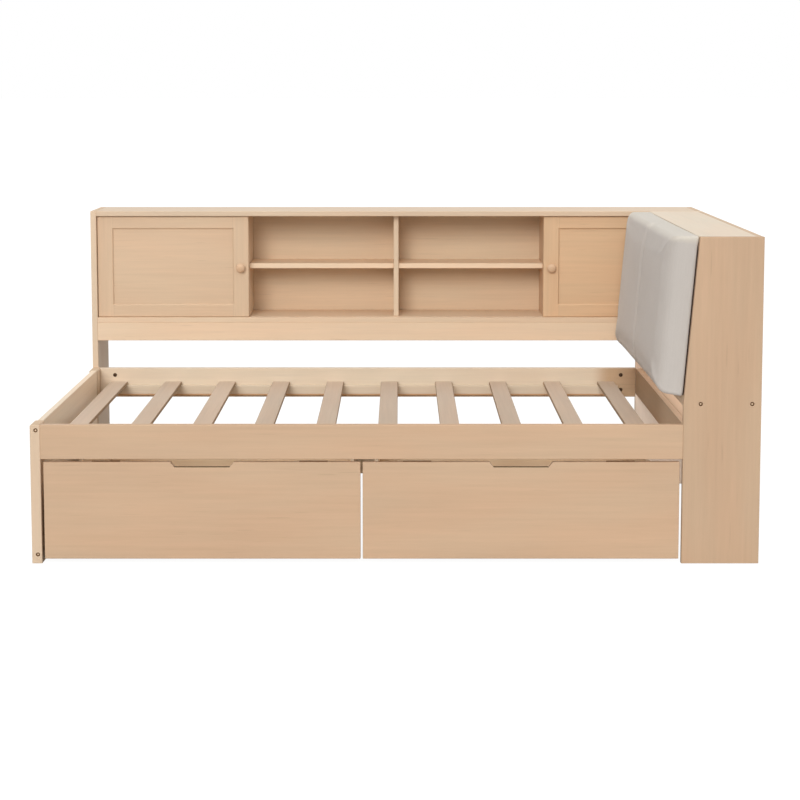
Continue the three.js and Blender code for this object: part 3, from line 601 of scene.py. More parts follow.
# %% Finish the doors
STILE_WIDTH = 0.056
JOINT_HALF_WIDTH = 0.0004
JOINT_SHARE, JOINT_DARKNESS, JOINT_DROP = 0.35, 0.5, 2
SAME_POINT = 1e-6
NEAR = 1e-4
FIRST_DOOR_TREE = 60
ROUTER_SLOPE = 0.0035
DOOR_COLOURS = {"left": linear(215, 188, 158), "right": linear(219, 185, 148)}


def door_finish(name, colour, low, high, number):
    material, sheet = new_finish(name)
    across = sheet.part(sheet.place(), 0)
    middle = (low.x + high.x) / 2
    inner = (high.x - low.x) / 2 - STILE_WIDTH
    from_middle = (across - middle).size()
    in_stile = from_middle.above(inner)
    level, level_height = wood_tone(sheet, run_of_grain(sheet, "X", number), colour, 1.0)
    upright, upright_height = wood_tone(sheet, run_of_grain(sheet, "Z", number + 1), colour, 1.0)
    joint = (from_middle - inner).size().below(JOINT_HALF_WIDTH)
    tone = sheet.blend(in_stile, level, upright)
    tone = sheet.blend(joint * JOINT_SHARE, tone, scaled(colour, JOINT_DARKNESS))
    height = level_height * (1 - in_stile) + upright_height * in_stile - joint * JOINT_DROP
    close_wood(sheet, tone, WOODS["wood"]["roughness"] + height * FIBRE_ROUGHNESS, height)
    return material


def routed(name, node):
    """A copy of a door with a slope cut round the front of its panel."""
    low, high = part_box(node)
    middle = (low.x + high.x) / 2
    inner = (high.x - low.x) / 2 - STILE_WIDTH
    mesh = bmesh.new()
    mesh.from_mesh(boards[node].data)
    bmesh.ops.remove_doubles(mesh, verts=mesh.verts, dist=SAME_POINT)
    corners = {
        vertex for vertex in mesh.verts
        if abs(vertex.co.y - low.y) < NEAR and abs(abs(vertex.co.x - middle) - inner) < NEAR
    }
    border = [edge for edge in mesh.edges if set(edge.verts) <= corners]
    bmesh.ops.bevel(mesh, geom=border, offset=ROUTER_SLOPE, segments=1, affect="EDGES")
    door = new_piece(name, [])
    mesh.to_mesh(door.data)
    mesh.free()
    print(name, "has", len(border), "routed edges")
    return door


for number, side in enumerate(DRAWER_SIDES):
    node = f"{side}_door"
    door = routed(f"{side}_routed_door", node)
    tree = FIRST_DOOR_TREE + 2 * number
    finish = door_finish(f"{node}_wood", DOOR_COLOURS[side], *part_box(node), tree)
    door.data.materials.append(finish)
    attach(door, f"{side}_sliding_door")
    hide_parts(node)

# %% [markdown]
# ## Drawer bottoms and their caster forks
#
# Each bottom board carries four pressed steel forks. They are one solid with the board,
# so one finish covers both: wood above the underside of the board, and zinc-plated steel
# below it. The height of a point decides which one it is.

# %% Finish the drawer bottoms
FORK_TOP = 0.0459
ZINC = (0.62, 0.61, 0.6, 1)
ROLLED_MARKS = (90.0, 90.0, 700.0)
STEEL_SMOOTHER = 0.28
FIRST_BOTTOM_TREE = 70


def bottom_finish(name, number):
    material, sheet = new_finish(name)
    place = sheet.place()
    steel = sheet.part(place, 2).below(FORK_TOP)
    facts = WOODS["box_wood"]
    tone, height = wood_tone(sheet, run_of_grain(sheet, "X", number), facts["colour"], 1.0)
    rolled = sheet.speckle(place, ROLLED_MARKS, detail=2.0)
    plated = sheet.blend(0.5 + rolled * 0.5, scaled(ZINC, 0.85), ZINC)
    relief = height * (1 - steel) + rolled * steel
    close_finish(sheet, {
        "Base Color": sheet.blend(steel, tone, plated), "Metallic": steel,
        "Roughness": facts["roughness"] - steel * STEEL_SMOOTHER + rolled * 0.05,
        "Normal": sheet.bump(relief, 0.2, GRAIN_DEPTH),
    })
    return material


for number, side in enumerate(DRAWER_SIDES):
    name = f"{side}_drawer_bottom"
    dress(name, bottom_finish(f"{name}_finish", FIRST_BOTTOM_TREE + number))
    print(name, "finished")

# %% [markdown]
# ## Shapes that follow a rule
#
# Some shapes repeat, some are spun round an axis and some follow a path. Geometry Nodes
# make these from a rule: a tree takes a simple mesh and a few named sizes, and gives
# back the finished shape. The small class that writes the materials can write these
# trees too. Each result is turned into a plain mesh, because an export keeps no rules.

# %% Write and use geometry trees
# Where two faces meet at more than this, the edge between them is kept sharp.
CREASE_DEG, WIDE_CREASE_DEG = 35, 50


def new_shape(name, sizes):
    """A geometry tree with named inputs: the sheet to write it on, and those inputs."""
    tree = bpy.data.node_groups.new(name, "GeometryNodeTree")
    sheet = Sheet(tree)
    kinds = {"Geometry": ("NodeSocketGeometry", None), **sizes}
    kinds["Finish"] = ("NodeSocketMaterial", None)
    for label, (kind, start) in kinds.items():
        socket = tree.interface.new_socket(label, in_out="INPUT", socket_type=kind)
        if start is not None:
            socket.default_value = start
    tree.interface.new_socket("Geometry", in_out="OUTPUT", socket_type="NodeSocketGeometry")
    given = tree.nodes.new("NodeGroupInput")
    return sheet, {label: Value(sheet, given.outputs[label]) for label in kinds}


def close_shape(sheet, shape, finish):
    """Ends a tree with plain geometry that has a finish on it."""
    real = sheet.node("GeometryNodeRealizeInstances", None, {0: shape})
    done = sheet.node("GeometryNodeSetMaterial", None, {"Geometry": real, "Material": finish})
    sheet.node("NodeGroupOutput", None, {0: done})
    return sheet.tree


def worked_out(piece):
    """The mesh that a piece has after its modifiers."""
    graph = bpy.context.evaluated_depsgraph_get()
    return bpy.data.meshes.new_from_object(piece.evaluated_get(graph))


def grow(piece, tree, values):
    """Replaces a piece's mesh by what a tree makes of it."""
    modifier = piece.modifiers.new(tree.name, "NODES")
    modifier.node_group = tree
    for item in tree.interface.items_tree:
        if item.in_out == "INPUT" and item.name in values:
            modifier[item.identifier] = values[item.name]
    data = worked_out(piece)
    piece.modifiers.remove(modifier)
    piece.data = data


def face_outwards(data, sharp_from=180):
    """Turns all faces outwards, shades them smooth, and keeps the sharper edges."""
    mesh = bmesh.new()
    mesh.from_mesh(data)
    bmesh.ops.recalc_face_normals(mesh, faces=mesh.faces)
    for edge in mesh.edges:
        turn = math.degrees(edge.calc_face_angle(math.pi)) if edge.is_manifold else 180
        edge.smooth = turn < sharp_from
    for face in mesh.faces:
        face.smooth = True
    mesh.to_mesh(data)
    mesh.free()


# %% [markdown]
# ## The lathe
#
# Knobs and wheels are turned: one outline, spun round a line. In Geometry Nodes that is a
# curve swept along a circle. The outline is drawn as far from the circle as the axis is,
# so that the sweep closes over the axis, and the points that meet there are merged.

# %% Build the lathe
LATHE_RING = 0.1

sheet, given = new_shape("lathe", {
    "Steps": ("NodeSocketInt", 48),
    "Ring": ("NodeSocketFloat", LATHE_RING),
})
outline = sheet.node("GeometryNodeMeshToCurve", None, {"Mesh": given["Geometry"]})
ring = sheet.node("GeometryNodeCurvePrimitiveCircle", None, {
    "Resolution": given["Steps"], "Radius": given["Ring"],
})
spun = sheet.node("GeometryNodeCurveToMesh", None, {"Curve": ring, "Profile Curve": outline})
merged = sheet.node("GeometryNodeMergeByDistance", None, {
    "Geometry": spun, "Distance": SAME_POINT,
})
lathe = close_shape(sheet, merged, given["Finish"])


def turned(name, profile, steps, finish, to_place, sharp_from=180):
    """A profile of (radius, along) points, spun about Z, then put in place."""
    count = len(profile)
    edges = [(i, (i + 1) % count) for i in range(count if profile[0][0] > 0 else count - 1)]
    points = [(radius - LATHE_RING, -along, 0) for radius, along in profile]
    piece = new_piece(name, points, edges)
    grow(piece, lathe, {"Steps": steps, "Ring": LATHE_RING, "Finish": finish})
    piece.data.transform(to_place)
    face_outwards(piece.data, sharp_from)
    return piece


print("lathe has", len(lathe.nodes), "nodes")

# %% [markdown]
# ## Door knobs
#
# Each knob is a turned ball with a narrow neck and a small flared foot. Its fibres run
# along its axis, so the front shows the rings of the stick it was turned from.

# %% Turn the knobs
KNOB_RADIUS = 0.016
KNOB_LENGTH = 0.025
KNOB_HALF_DEPTH = 0.010
KNOB_NECK = 0.007
KNOB_FOOT = 0.009
KNOB_FOOT_THICK = 0.0012
KNOB_FLARE = 0.0006
KNOB_FLARE_TOP = 0.0026
FIRST_KNOB_TREE = 80
KNOB_STEPS = 56
KNOB_CURVE_STEPS = 24


def knob_profile():
    points = [(0, 0), (KNOB_FOOT, 0), (KNOB_FOOT, KNOB_FOOT_THICK)]
    points.append((KNOB_NECK + KNOB_FLARE, KNOB_FLARE_TOP))
    ball_middle = KNOB_LENGTH - KNOB_HALF_DEPTH
    start = math.asin(KNOB_NECK / KNOB_RADIUS)
    for i in range(KNOB_CURVE_STEPS + 1):
        angle = start + (math.pi - start) * i / KNOB_CURVE_STEPS
        radius = KNOB_RADIUS * math.sin(angle) if i < KNOB_CURVE_STEPS else 0
        points.append((radius, ball_middle - KNOB_HALF_DEPTH * math.cos(angle)))
    return points


for number, side in enumerate(DRAWER_SIDES):
    node = f"{side}_door_knob"
    low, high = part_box(node)
    foot = Vector(((low.x + high.x) / 2, high.y, (low.z + high.z) / 2))
    to_place = Matrix.Translation(foot) @ Matrix.Rotation(math.radians(90), 4, "X")
    tree = FIRST_KNOB_TREE + number
    finish = wood_finish(f"{side}_knob_wood", "wood", "Y", low, high, tree)
    knob = turned(f"{side}_knob", knob_profile(), KNOB_STEPS, finish, to_place, WIDE_CREASE_DEG)
    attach(knob, f"{side}_sliding_door")
    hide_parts(node)
    print(knob.name, len(knob.data.polygons), "faces")

# %% [markdown]
# ## Caster wheels
#
# A caster wheel is a moulded nylon disc: a hub round the axle, a dished web, and a rim
# with slightly rounded shoulders. The outline below goes once round that section, and it
# never touches the axis, so the sweep leaves the bore open.

# %% Turn the wheels
WHEEL_RADIUS = 0.020
WHEEL_HALF = 0.009
WHEEL_BORE = 0.0034
WHEEL_STEPS = 56
FINE_DEPTH = 0.0001

half_section = [
    (WHEEL_BORE, WHEEL_HALF), (0.0066, WHEEL_HALF), (0.0074, 0.0082), (0.0078, 0.0064),
    (0.0140, 0.0060), (0.0152, 0.0082), (0.0162, WHEEL_HALF), (0.0184, WHEEL_HALF),
    (0.0194, 0.0087), (WHEEL_RADIUS, 0.0078),
]
wheel_section = half_section + [(radius, -along) for radius, along in half_section[::-1]]


def nylon_finish(name):
    material, sheet = new_finish(name)
    scuffs = sheet.grains(160.0, detail=3.0)
    colour = sheet.blend(0.5 + scuffs * 0.5, linear(38, 38, 40), linear(58, 57, 58))
    close_finish(sheet, {
        "Base Color": colour, "Roughness": 0.5 + scuffs * 0.1,
        "Normal": sheet.bump(sheet.grains(2400.0), 0.3, FINE_DEPTH),
    })
    return material


nylon = nylon_finish("dark_nylon")
for side in DRAWER_SIDES:
    for number in range(1, 5):
        node = f"{side}_caster_wheel_{number}"
        low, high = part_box(node)
        on_edge = Matrix.Rotation(math.radians(90), 4, "Y")
        to_place = Matrix.Translation((low + high) / 2) @ on_edge
        name = f"{side}_wheel_disc_{number}"
        wheel = turned(name, wheel_section, WHEEL_STEPS, nylon, to_place, CREASE_DEG)
        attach(wheel, f"{side}_wheel_{number}")
        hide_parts(node)
print("eight wheels turned")

# %% [markdown]
# ## The backrest cushion
#
# The cushion is a foam slab in a woven cover. It could be modelled by hand, but cloth
# finds the tension of a stuffed cover by itself: a closed skin, slightly smaller than
# the real cushion, is blown up by a little pressure while its back stays flat on its
# board. The skin is a net of squares over a box. It has narrower rows along the middle,
# where a channel is sewn in afterwards.

# %% Lay out the cushion's skin
UNIT_DEPTH, TOP_DEPTH = 0.232, 0.190
HINGE_HEIGHT, TOP_HEIGHT = 0.487, 0.984
LEAN = math.atan((UNIT_DEPTH - TOP_DEPTH) / (TOP_HEIGHT - HINGE_HEIGHT))
HINGE_LINE = Vector((0.858, 0, HINGE_HEIGHT))
CUSHION_LENGTH = 0.967
CUSHION_THICK = 0.083
CUSHION_BACK = 0.0030
CUSHION_LOW = 0.0165
CUSHION_HIGH = 0.5015
CUSHION_NEAR_END, CUSHION_SPAN = -0.615, 0.973
CUSHION_MIDDLE = CUSHION_NEAR_END + CUSHION_SPAN / 2
FRONT_ROUND = 0.036
TOP_ROUND = 0.022
ROUND_FADE = 0.02
BACK_ROUND = 0.0035
LIP_HEIGHT = 0.016
LIP_FADE = 0.012
LIP_GAP = 0.0003
CORNER_ROUND = 0.012
CORNER_FADE = 0.08
SIDE_PULL, SIDE_PULL_POWER = 0.002, 6
SKIN_STEP = 0.009
SEAM_ROWS = [0, 0.003, 0.007, 0.012, 0.018]

slab_size = (CUSHION_THICK, CUSHION_LENGTH, CUSHION_HIGH - CUSHION_LOW)
half_long, half_tall = slab_size[1] / 2, slab_size[2] / 2
leaning = Matrix.Translation(HINGE_LINE) @ Matrix.Rotation(LEAN, 4, "Y")
middle_up = (CUSHION_LOW + CUSHION_HIGH) / 2
cushion_shift = Matrix.Translation((-CUSHION_BACK, CUSHION_MIDDLE, middle_up))


def even_steps(low, high, step):
    count = max(1, round((high - low) / step))
    return [low + (high - low) * i / count for i in range(count + 1)]


def slab_skin(name, steps):
    """A closed skin of squares over a box, given its grid lines along each axis."""
    places = {}
    faces = []

    def corner(index):
        return places.setdefault(index, len(places))

    for axis in range(3):
        first, second = (axis + 1) % 3, (axis + 2) % 3
        for end in (0, len(steps[axis]) - 1):
            for i in range(len(steps[first]) - 1):
                for j in range(len(steps[second]) - 1):
                    loop = []
                    for a, b in ((i, j), (i + 1, j), (i + 1, j + 1), (i, j + 1)):
                        index = [0, 0, 0]
                        index[axis], index[first], index[second] = end, a, b
                        loop.append(corner(tuple(index)))
                    faces.append(loop if end else loop[::-1])
    points = [[steps[axis][i] for axis, i in enumerate(index)] for index in places]
    return new_piece(name, points, faces=faces)


half_rows = SEAM_ROWS + even_steps(SEAM_ROWS[-1], half_long, SKIN_STEP)[1:]
cushion = slab_skin("backrest_pad", [
    even_steps(-CUSHION_THICK, 0, SKIN_STEP),
    [-row for row in half_rows[:0:-1]] + half_rows,
    even_steps(-half_tall, half_tall, SKIN_STEP),
])
print("cushion skin has", len(cushion.data.vertices), "points")

# %% [markdown]
# ### Round edges
#
# A stuffed cover has no sharp edge, so each point near an edge of the box is moved onto
# the quarter round that takes the edge's place. The round is wide where the front turns
# into the ends, and tighter along the top. At the back, the cover laps over the sheet
# behind it and touches the top board.


# %% Round its edges
def clamped(value):
    return max(0.0, min(1.0, value))


def rounded(into, depth, edge):
    """Moves a point near a square edge onto the quarter round that takes its place."""
    if into + depth >= edge:
        return into, depth
    turn = math.pi / 4 * (1 + (depth - into) / edge)
    return edge * (1 - math.sin(turn)), edge * (1 - math.cos(turn))


def on_round_slab(point):
    """Moves a point of the box onto a slab with round edges and round corners."""
    x, y, z = point
    from_end, from_top = half_long - abs(y), half_tall - abs(z)
    depth = min(from_end, from_top)
    at_front = x < -CUSHION_THICK / 2
    into = x + CUSHION_THICK if at_front else -x
    tight = clamped((from_end - from_top) / ROUND_FADE) if z > 0 else 0.0
    front_round = FRONT_ROUND + (TOP_ROUND - FRONT_ROUND) * tight
    into, new_depth = rounded(into, depth, front_round if at_front else BACK_ROUND)
    x = into - CUSHION_THICK if at_front else -into
    if new_depth != depth:
        y *= (half_long - new_depth) / (half_long - depth)
        z *= (half_tall - new_depth) / (half_tall - depth)
    corner = CORNER_ROUND * (1 - new_depth / CORNER_FADE)
    inner_y, inner_z = half_long - new_depth - corner, half_tall - new_depth - corner
    over_y, over_z = abs(y) - inner_y, abs(z) - inner_z
    if corner > 0 and over_y > 0 and over_z > 0:
        share = over_z / corner if over_y >= over_z else 2 - over_y / corner
        turn = share * math.pi / 4
        y = math.copysign(inner_y + corner * math.cos(turn), y)
        z = math.copysign(inner_z + corner * math.sin(turn), z)
    reach_y, reach_z = abs(y) / half_long, abs(z) / half_tall
    y -= math.copysign(SIDE_PULL * (1 - reach_z ** 2) * reach_y ** SIDE_PULL_POWER, y)
    z -= math.copysign(SIDE_PULL * (1 - reach_y ** 2) * reach_z ** SIDE_PULL_POWER, z)
    in_lip = clamped((z - half_tall + LIP_HEIGHT + LIP_FADE) / LIP_FADE)
    at_back = max(0.0, 1 + x / (CUSHION_THICK / 2))
    x += (CUSHION_BACK - LIP_GAP) * in_lip * at_back
    return Vector((x, y, z))


for vertex in cushion.data.vertices:
    vertex.co = on_round_slab(vertex.co)
resting = [vertex.co.copy() for vertex in cushion.data.vertices]
print("its front edge is rounded by", FRONT_ROUND * 1000, "mm")

# %% [markdown]
# ### Blown up
#
# The simulation holds the back of the skin and leaves gravity out, because the foam
# carries the cover. Twenty frames are enough for it to find its crown. The move of each
# point is capped, so that the cushion keeps its size whatever the pressure.

# %% Blow the cushion up
BLOW_FRAMES = 20
BLOW_PRESSURE = 4.0
BLOW_QUALITY = 4
MOST_OUT = 0.0075
BACK_HOLD_DEPTH = 0.004


def blown(piece):
    """How far each point moves out when the closed skin is blown up."""
    held = piece.vertex_groups.new(name="held")
    held.add([i for i, co in enumerate(resting) if co.x > -BACK_HOLD_DEPTH], 1.0, "REPLACE")
    cloth = piece.modifiers.new("cover", "CLOTH")
    settings = cloth.settings
    settings.quality = BLOW_QUALITY
    settings.use_pressure = True
    settings.uniform_pressure_force = BLOW_PRESSURE
    settings.effector_weights.gravity = 0
    settings.vertex_group_mass = "held"
    cloth.collision_settings.use_collision = False
    scene.frame_start, scene.frame_end = 1, BLOW_FRAMES
    for step in range(1, BLOW_FRAMES + 1):
        scene.frame_set(step)
    graph = bpy.context.evaluated_depsgraph_get()
    points = [v.co.copy() for v in piece.evaluated_get(graph).data.vertices]
    piece.modifiers.remove(cloth)
    piece.vertex_groups.clear()
    scene.frame_set(1)
    return [after - before for after, before in zip(points, resting)]


def capped(move, most):
    """The same direction, never further than the most."""
    length = move.length
    if length == 0:
        return move
    return move * (most * math.tanh(length / most) / length)


moves = blown(cushion)
for vertex, co, move in zip(cushion.data.vertices, resting, moves):
    if abs(co.y) < SAME_POINT:
        move.y = 0
    vertex.co = co + capped(move, MOST_OUT) * clamped(-co.x / CUSHION_THICK) ** 0.5
print("the skin wants to move by", round(max(m.length for m in moves) * 1000, 1), "mm")

# %% [markdown]
# ### The channel
#
# Half way along, the cover is sewn down to the foam. In the simulation that would need a
# very fine net, so the channel is pressed in afterwards: every point moves inwards by a
# bell-shaped depth, and a narrower bell adds the crease. A few shallow dimples keep the
# rest from looking machined.

# %% Sew the channel
CHANNEL_HALF_WIDTH = 0.018
CHANNEL_DEPTH = 0.0085
CREASE_HALF_WIDTH = 0.0026
CREASE_DEPTH = 0.0012
SEWN_FROM, SEWN_OVER = 0.35, 0.45
SOFT_DIMPLE = 0.0009
DIMPLES_PER_METRE = 9
SEAM_HALF_WIDTH = 0.0004
SEAM_FRONT = 0.75

subdivide = cushion.modifiers.new("fine", "SUBSURF")
subdivide.levels = subdivide.render_levels = 1
fine = worked_out(cushion)
cushion.modifiers.clear()
cushion.data = fine


def bell(value, half_width):
    return math.exp(-((value / half_width) ** 2))


inwards = [-vertex.normal for vertex in fine.vertices]
for vertex, inward in zip(fine.vertices, inwards):
    co = vertex.co.copy()
    front = clamped(-co.x / CUSHION_THICK)
    sewn = clamped((front - SEWN_FROM) / SEWN_OVER)
    depth = CHANNEL_DEPTH * bell(co.y, CHANNEL_HALF_WIDTH)
    depth += CREASE_DEPTH * bell(co.y, CREASE_HALF_WIDTH)
    dimple = SOFT_DIMPLE * noise.noise(co * DIMPLES_PER_METRE) * front
    vertex.co = co + inward * (depth * sewn + dimple)
seam_line = [v.co.copy() for v in fine.vertices if abs(v.co.y) < SEAM_HALF_WIDTH]
seam_line = [co for co in seam_line if co.x < -CUSHION_THICK * SEAM_FRONT]
seam_line.sort(key=lambda co: co.z)
fine.transform(leaning @ cushion_shift)
fine.shade_smooth()
print("cushion has", len(fine.polygons), "faces,", len(seam_line), "points along its seam")

# %% [markdown]
# ## The cover's cloth
#
# The cover is a plain weave of soft grey threads, a little over a millimetre apart, with
# the thicker and thinner runs that linen has. A weave has to look the same on the front
# and round the edges, and the cushion has no flat map, so three waves, one along each
# direction of the cushion, are added up: on any face two of them cross. The narrow top
# is painted paler, a painted highlight where the light falls on it.

# %% Weave the cover
THREADS_PER_METRE = 830
WANDER_PER_METRE, WANDER_REACH = 30.0, 0.6
RUN_ALONG, RUN_ACROSS = 9.0, 260.0
CLOUDS_PER_METRE, FUZZ_PER_METRE = 5.0, 1500.0
WEAVE_SHARE, UPRIGHT_SHARE, LEVEL_SHARE = 0.16, 0.2, 0.14
CLOTH_CLOUD_SHARE, FUZZ_SHARE = 0.14, 0.1
CLOTH_COLOUR = linear(200, 192, 184)
TOP_PAINTED_HIGHLIGHT = (1.2, 1.2, 1.14, 1)
TOP_HIGHLIGHT_FROM, TOP_HIGHLIGHT_TO = 0.030, 0.012
WEAVE_DEPTH = 0.0004


def cloth_finish(name, lean):
    material, sheet = new_finish(name)
    place = sheet.place()
    along = sheet.node("ShaderNodeMapping", None, {"Vector": place, "Rotation": (0, -lean, 0)})
    wander = sheet.speckle(along, (WANDER_PER_METRE,) * 3, detail=1.0) * WANDER_REACH
    turn = 2 * math.pi * THREADS_PER_METRE / 2
    waves = [(sheet.part(along, axis) * turn + wander).sine() for axis in range(3)]
    weave = waves[0] * waves[1] + waves[1] * waves[2] + waves[2] * waves[0]
    upright = sheet.speckle(along, (RUN_ACROSS, RUN_ACROSS, RUN_ALONG), detail=2.0)
    level = sheet.speckle(along, (RUN_ACROSS, RUN_ALONG, RUN_ACROSS), detail=2.0)
    clouds = sheet.speckle(along, (CLOUDS_PER_METRE,) * 3, detail=1.0)
    fuzz = sheet.speckle(along, (FUZZ_PER_METRE,) * 3, detail=1.0)
    tone = 0.5 + weave * WEAVE_SHARE + upright * UPRIGHT_SHARE + level * LEVEL_SHARE
    tone = tone + clouds * CLOTH_CLOUD_SHARE + fuzz * FUZZ_SHARE
    colour = sheet.blend(tone, scaled(CLOTH_COLOUR, 0.9), scaled(CLOTH_COLOUR, 1.08))
    # Painted highlight: the cover is made paler along its top.
    top = (Matrix.Rotation(-lean, 4, "Y") @ HINGE_LINE).z + CUSHION_HIGH
    in_highlight = sheet.smooth(sheet.part(along, 2), top - TOP_HIGHLIGHT_FROM, top - TOP_HIGHLIGHT_TO)
    colour = sheet.blend(in_highlight, colour, sheet.blend(1.0, colour, TOP_PAINTED_HIGHLIGHT, "MULTIPLY"))
    close_finish(sheet, {
        "Base Color": colour, "Roughness": 0.9 + clouds * 0.04,
        "Normal": sheet.bump(weave + upright * 0.5 + fuzz * 0.4, 0.5, WEAVE_DEPTH),
        "Sheen Weight": 0.25, "Sheen Roughness": 0.5,
    })
    return material


cover_cloth = cloth_finish("cover_cloth", LEAN)
fine.materials.clear()
fine.materials.append(cover_cloth)
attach(cushion, "frame")
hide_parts("backrest_cushion")
print("cover woven at", THREADS_PER_METRE, "threads a metre")

# %% [markdown]
# ## Stitches along the channel
#
# A sewn channel is held down by a row of short stitches in its crease. They follow a
# path, so a tree makes them: it draws a curve through the points of the crease, steps
# along it by one stitch at a time, and lays a small spindle of thread on each step,
# turned the way the curve runs there.

# %% Sew the stitches
STITCH_PITCH = 0.0065
STITCH_LENGTH = 0.0046
THREAD_RADIUS = 0.0005
THREAD_SIDES, THREAD_RINGS = 6, 5

sheet, given = new_shape("stitches", {
    "Pitch": ("NodeSocketFloat", STITCH_PITCH),
    "Length": ("NodeSocketFloat", STITCH_LENGTH),
    "Thread Radius": ("NodeSocketFloat", THREAD_RADIUS),
})
path = sheet.node("GeometryNodeMeshToCurve", None, {"Mesh": given["Geometry"]})
steps = sheet.node("GeometryNodeResampleCurve", {"mode": "LENGTH"}, {
    "Curve": path, "Length": given["Pitch"],
})
along = sheet.node("GeometryNodeInputTangent")
turn = sheet.node("FunctionNodeAlignRotationToVector", {"axis": "Z"}, {"Vector": along})
ball = sheet.node("GeometryNodeMeshUVSphere", None, {
    "Segments": THREAD_SIDES, "Rings": THREAD_RINGS, "Radius": 1.0,
})
size = sheet.node("ShaderNodeCombineXYZ", None, {
    0: given["Thread Radius"], 1: given["Thread Radius"], 2: given["Length"] * 0.5,
})
laid = sheet.node("GeometryNodeInstanceOnPoints", None, {
    "Points": steps, "Instance": ball, "Rotation": turn, "Scale": size,
})
stitches = close_shape(sheet, laid, given["Finish"])


def thread_finish(name, colour):
    material, sheet = new_finish(name)
    plies = sheet.speckle(sheet.place(), (900.0, 900.0, 2600.0), detail=1.0)
    close_finish(sheet, {
        "Base Color": sheet.blend(0.5 + plies * 0.5, scaled(colour, 0.85), scaled(colour, 1.1)),
        "Roughness": 0.8 + plies * 0.05, "Normal": sheet.bump(plies, 0.4, FINE_DEPTH),
    })
    return material


seam_edges = [(i, i + 1) for i in range(len(seam_line) - 1)]
row = new_piece("channel_stitches", seam_line, seam_edges)
row_finish = thread_finish("grey_thread", linear(136, 128, 121))
grow(row, stitches, {"Pitch": STITCH_PITCH, "Finish": row_finish})
row.data.transform(leaning @ cushion_shift)
face_outwards(row.data)
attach(row, "frame")
print(len(row.data.polygons), "faces of thread")

# %% [markdown]
# ## The sheet behind the cushion
#
# Between the cushion and its board lies a thin dark sheet, a little smaller than the
# cushion. Its dark colour is painted shadow: from the front it shows only as a dark line,
# the shade in the gap along the cushion's edge. It is a plate with rounded corners, and a
# narrow bevel takes the hardness off its edges.

# %% Cut the backing sheet
BACKING_INSET = 0.004
BACKING_GAP = 0.0003
BACKING_BEVEL = 0.0008
BACKING_CORNER_STEPS = 6
PILE_DEPTH = 0.0002


def rounded_outline(half_wide, half_high, radius, steps):
    """Points of a rectangle with round corners, once round."""
    points = []
    for quarter, (across, up) in enumerate(((1, 1), (-1, 1), (-1, -1), (1, -1))):
        for i in range(steps + 1):
            turn = (quarter + i / steps) * math.pi / 2
            points.append((
                across * (half_wide - radius) + radius * math.cos(turn),
                up * (half_high - radius) + radius * math.sin(turn),
            ))
    return points


def plate(name, outline, low, high, bevel):
    """A flat plate from an outline, with bevelled edges. Its thickness runs along X."""
    count = len(outline)
    points = [(x, across, up) for x in (low, high) for across, up in outline]
    faces = [list(range(count))[::-1], list(range(count, 2 * count))]
    faces += [(i, (i + 1) % count, count + (i + 1) % count, count + i) for i in range(count)]
    piece = new_piece(name, points, faces=faces)
    edge = piece.modifiers.new("edge", "BEVEL")
    edge.width, edge.segments, edge.limit_method = bevel, 2, "ANGLE"
    piece.data = worked_out(piece)
    piece.modifiers.clear()
    return piece


def felt_finish(name, colour):
    material, sheet = new_finish(name)
    hairs = sheet.grains(1800.0, detail=3.0, roughness=0.7)
    tufts = sheet.grains(220.0, detail=2.0)
    share = 0.5 + hairs * 0.4 + tufts * 0.2
    close_finish(sheet, {
        "Base Color": sheet.blend(share, scaled(colour, 0.7), scaled(colour, 1.3)),
        "Roughness": 0.92 + tufts * 0.05, "Normal": sheet.bump(hairs + tufts, 0.6, PILE_DEPTH),
    })
    return material


below_lip = LIP_HEIGHT + LIP_FADE
sheet_outline = rounded_outline(
    half_long - BACKING_INSET, half_tall - BACKING_INSET - below_lip / 2,
    CORNER_ROUND, BACKING_CORNER_STEPS,
)
backing = plate(
    "backrest_backing", sheet_outline, -CUSHION_BACK + BACKING_GAP, -BACKING_GAP, BACKING_BEVEL,
)
behind = Matrix.Translation((CUSHION_BACK, 0, -below_lip / 2))
backing.data.transform(leaning @ behind @ cushion_shift)
face_outwards(backing.data, WIDE_CREASE_DEG)
# The sheet's dark felt stands in for the shadow in the gap behind the cushion.
backing.data.materials.append(felt_finish("backing_painted_shadow", linear(62, 46, 38)))
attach(backing, "frame")
print("backing", len(backing.data.polygons), "faces")

# %% [markdown]
# ## Bolts and barrel nuts
#
# The bed is a kit, held by bolts with a hexagon socket that run into barrel nuts. Both
# are small and repeat, so one tree sets them out: it puts a copy of a head on each point
# of a mesh, turned the way that the point's own arrow says. A real fitter stops each
# bolt wherever it is tight, so each one is also spun by a random angle with a fixed seed,
# and an input says how far that spin may go. The socket is a piece of its own in light
# bronze, a painted highlight in the middle of each dark head.

# %% Make the heads
HEAD_SIDES = 24
BOLT_RADIUS, BOLT_HEIGHT, BOLT_CHAMFER = 0.0054, 0.0034, 0.0004
KEY_HALF, KEY_TAPER, KEY_FLOOR = 0.0026, 0.0001, 0.0010
PLUG_HALF, PLUG_LOW, PLUG_HIGH = 0.0024, 0.0004, 0.0027
NUT_RADIUS, NUT_HEIGHT, NUT_CHAMFER = 0.0057, 0.0137, 0.0005
FLANGE_RADIUS, FLANGE_LOW, FLANGE_HIGH = 0.0070, 0.0127, 0.0134
SLOT_LONG, SLOT_SHORT, SLOT_FLOOR = 0.0042, 0.0009, 0.0120


def hexagon(flat):
    """The radius of a hexagon at an angle, from half its width across the flats."""
    return lambda angle: flat / math.cos(angle % (math.pi / 3) - math.pi / 6)


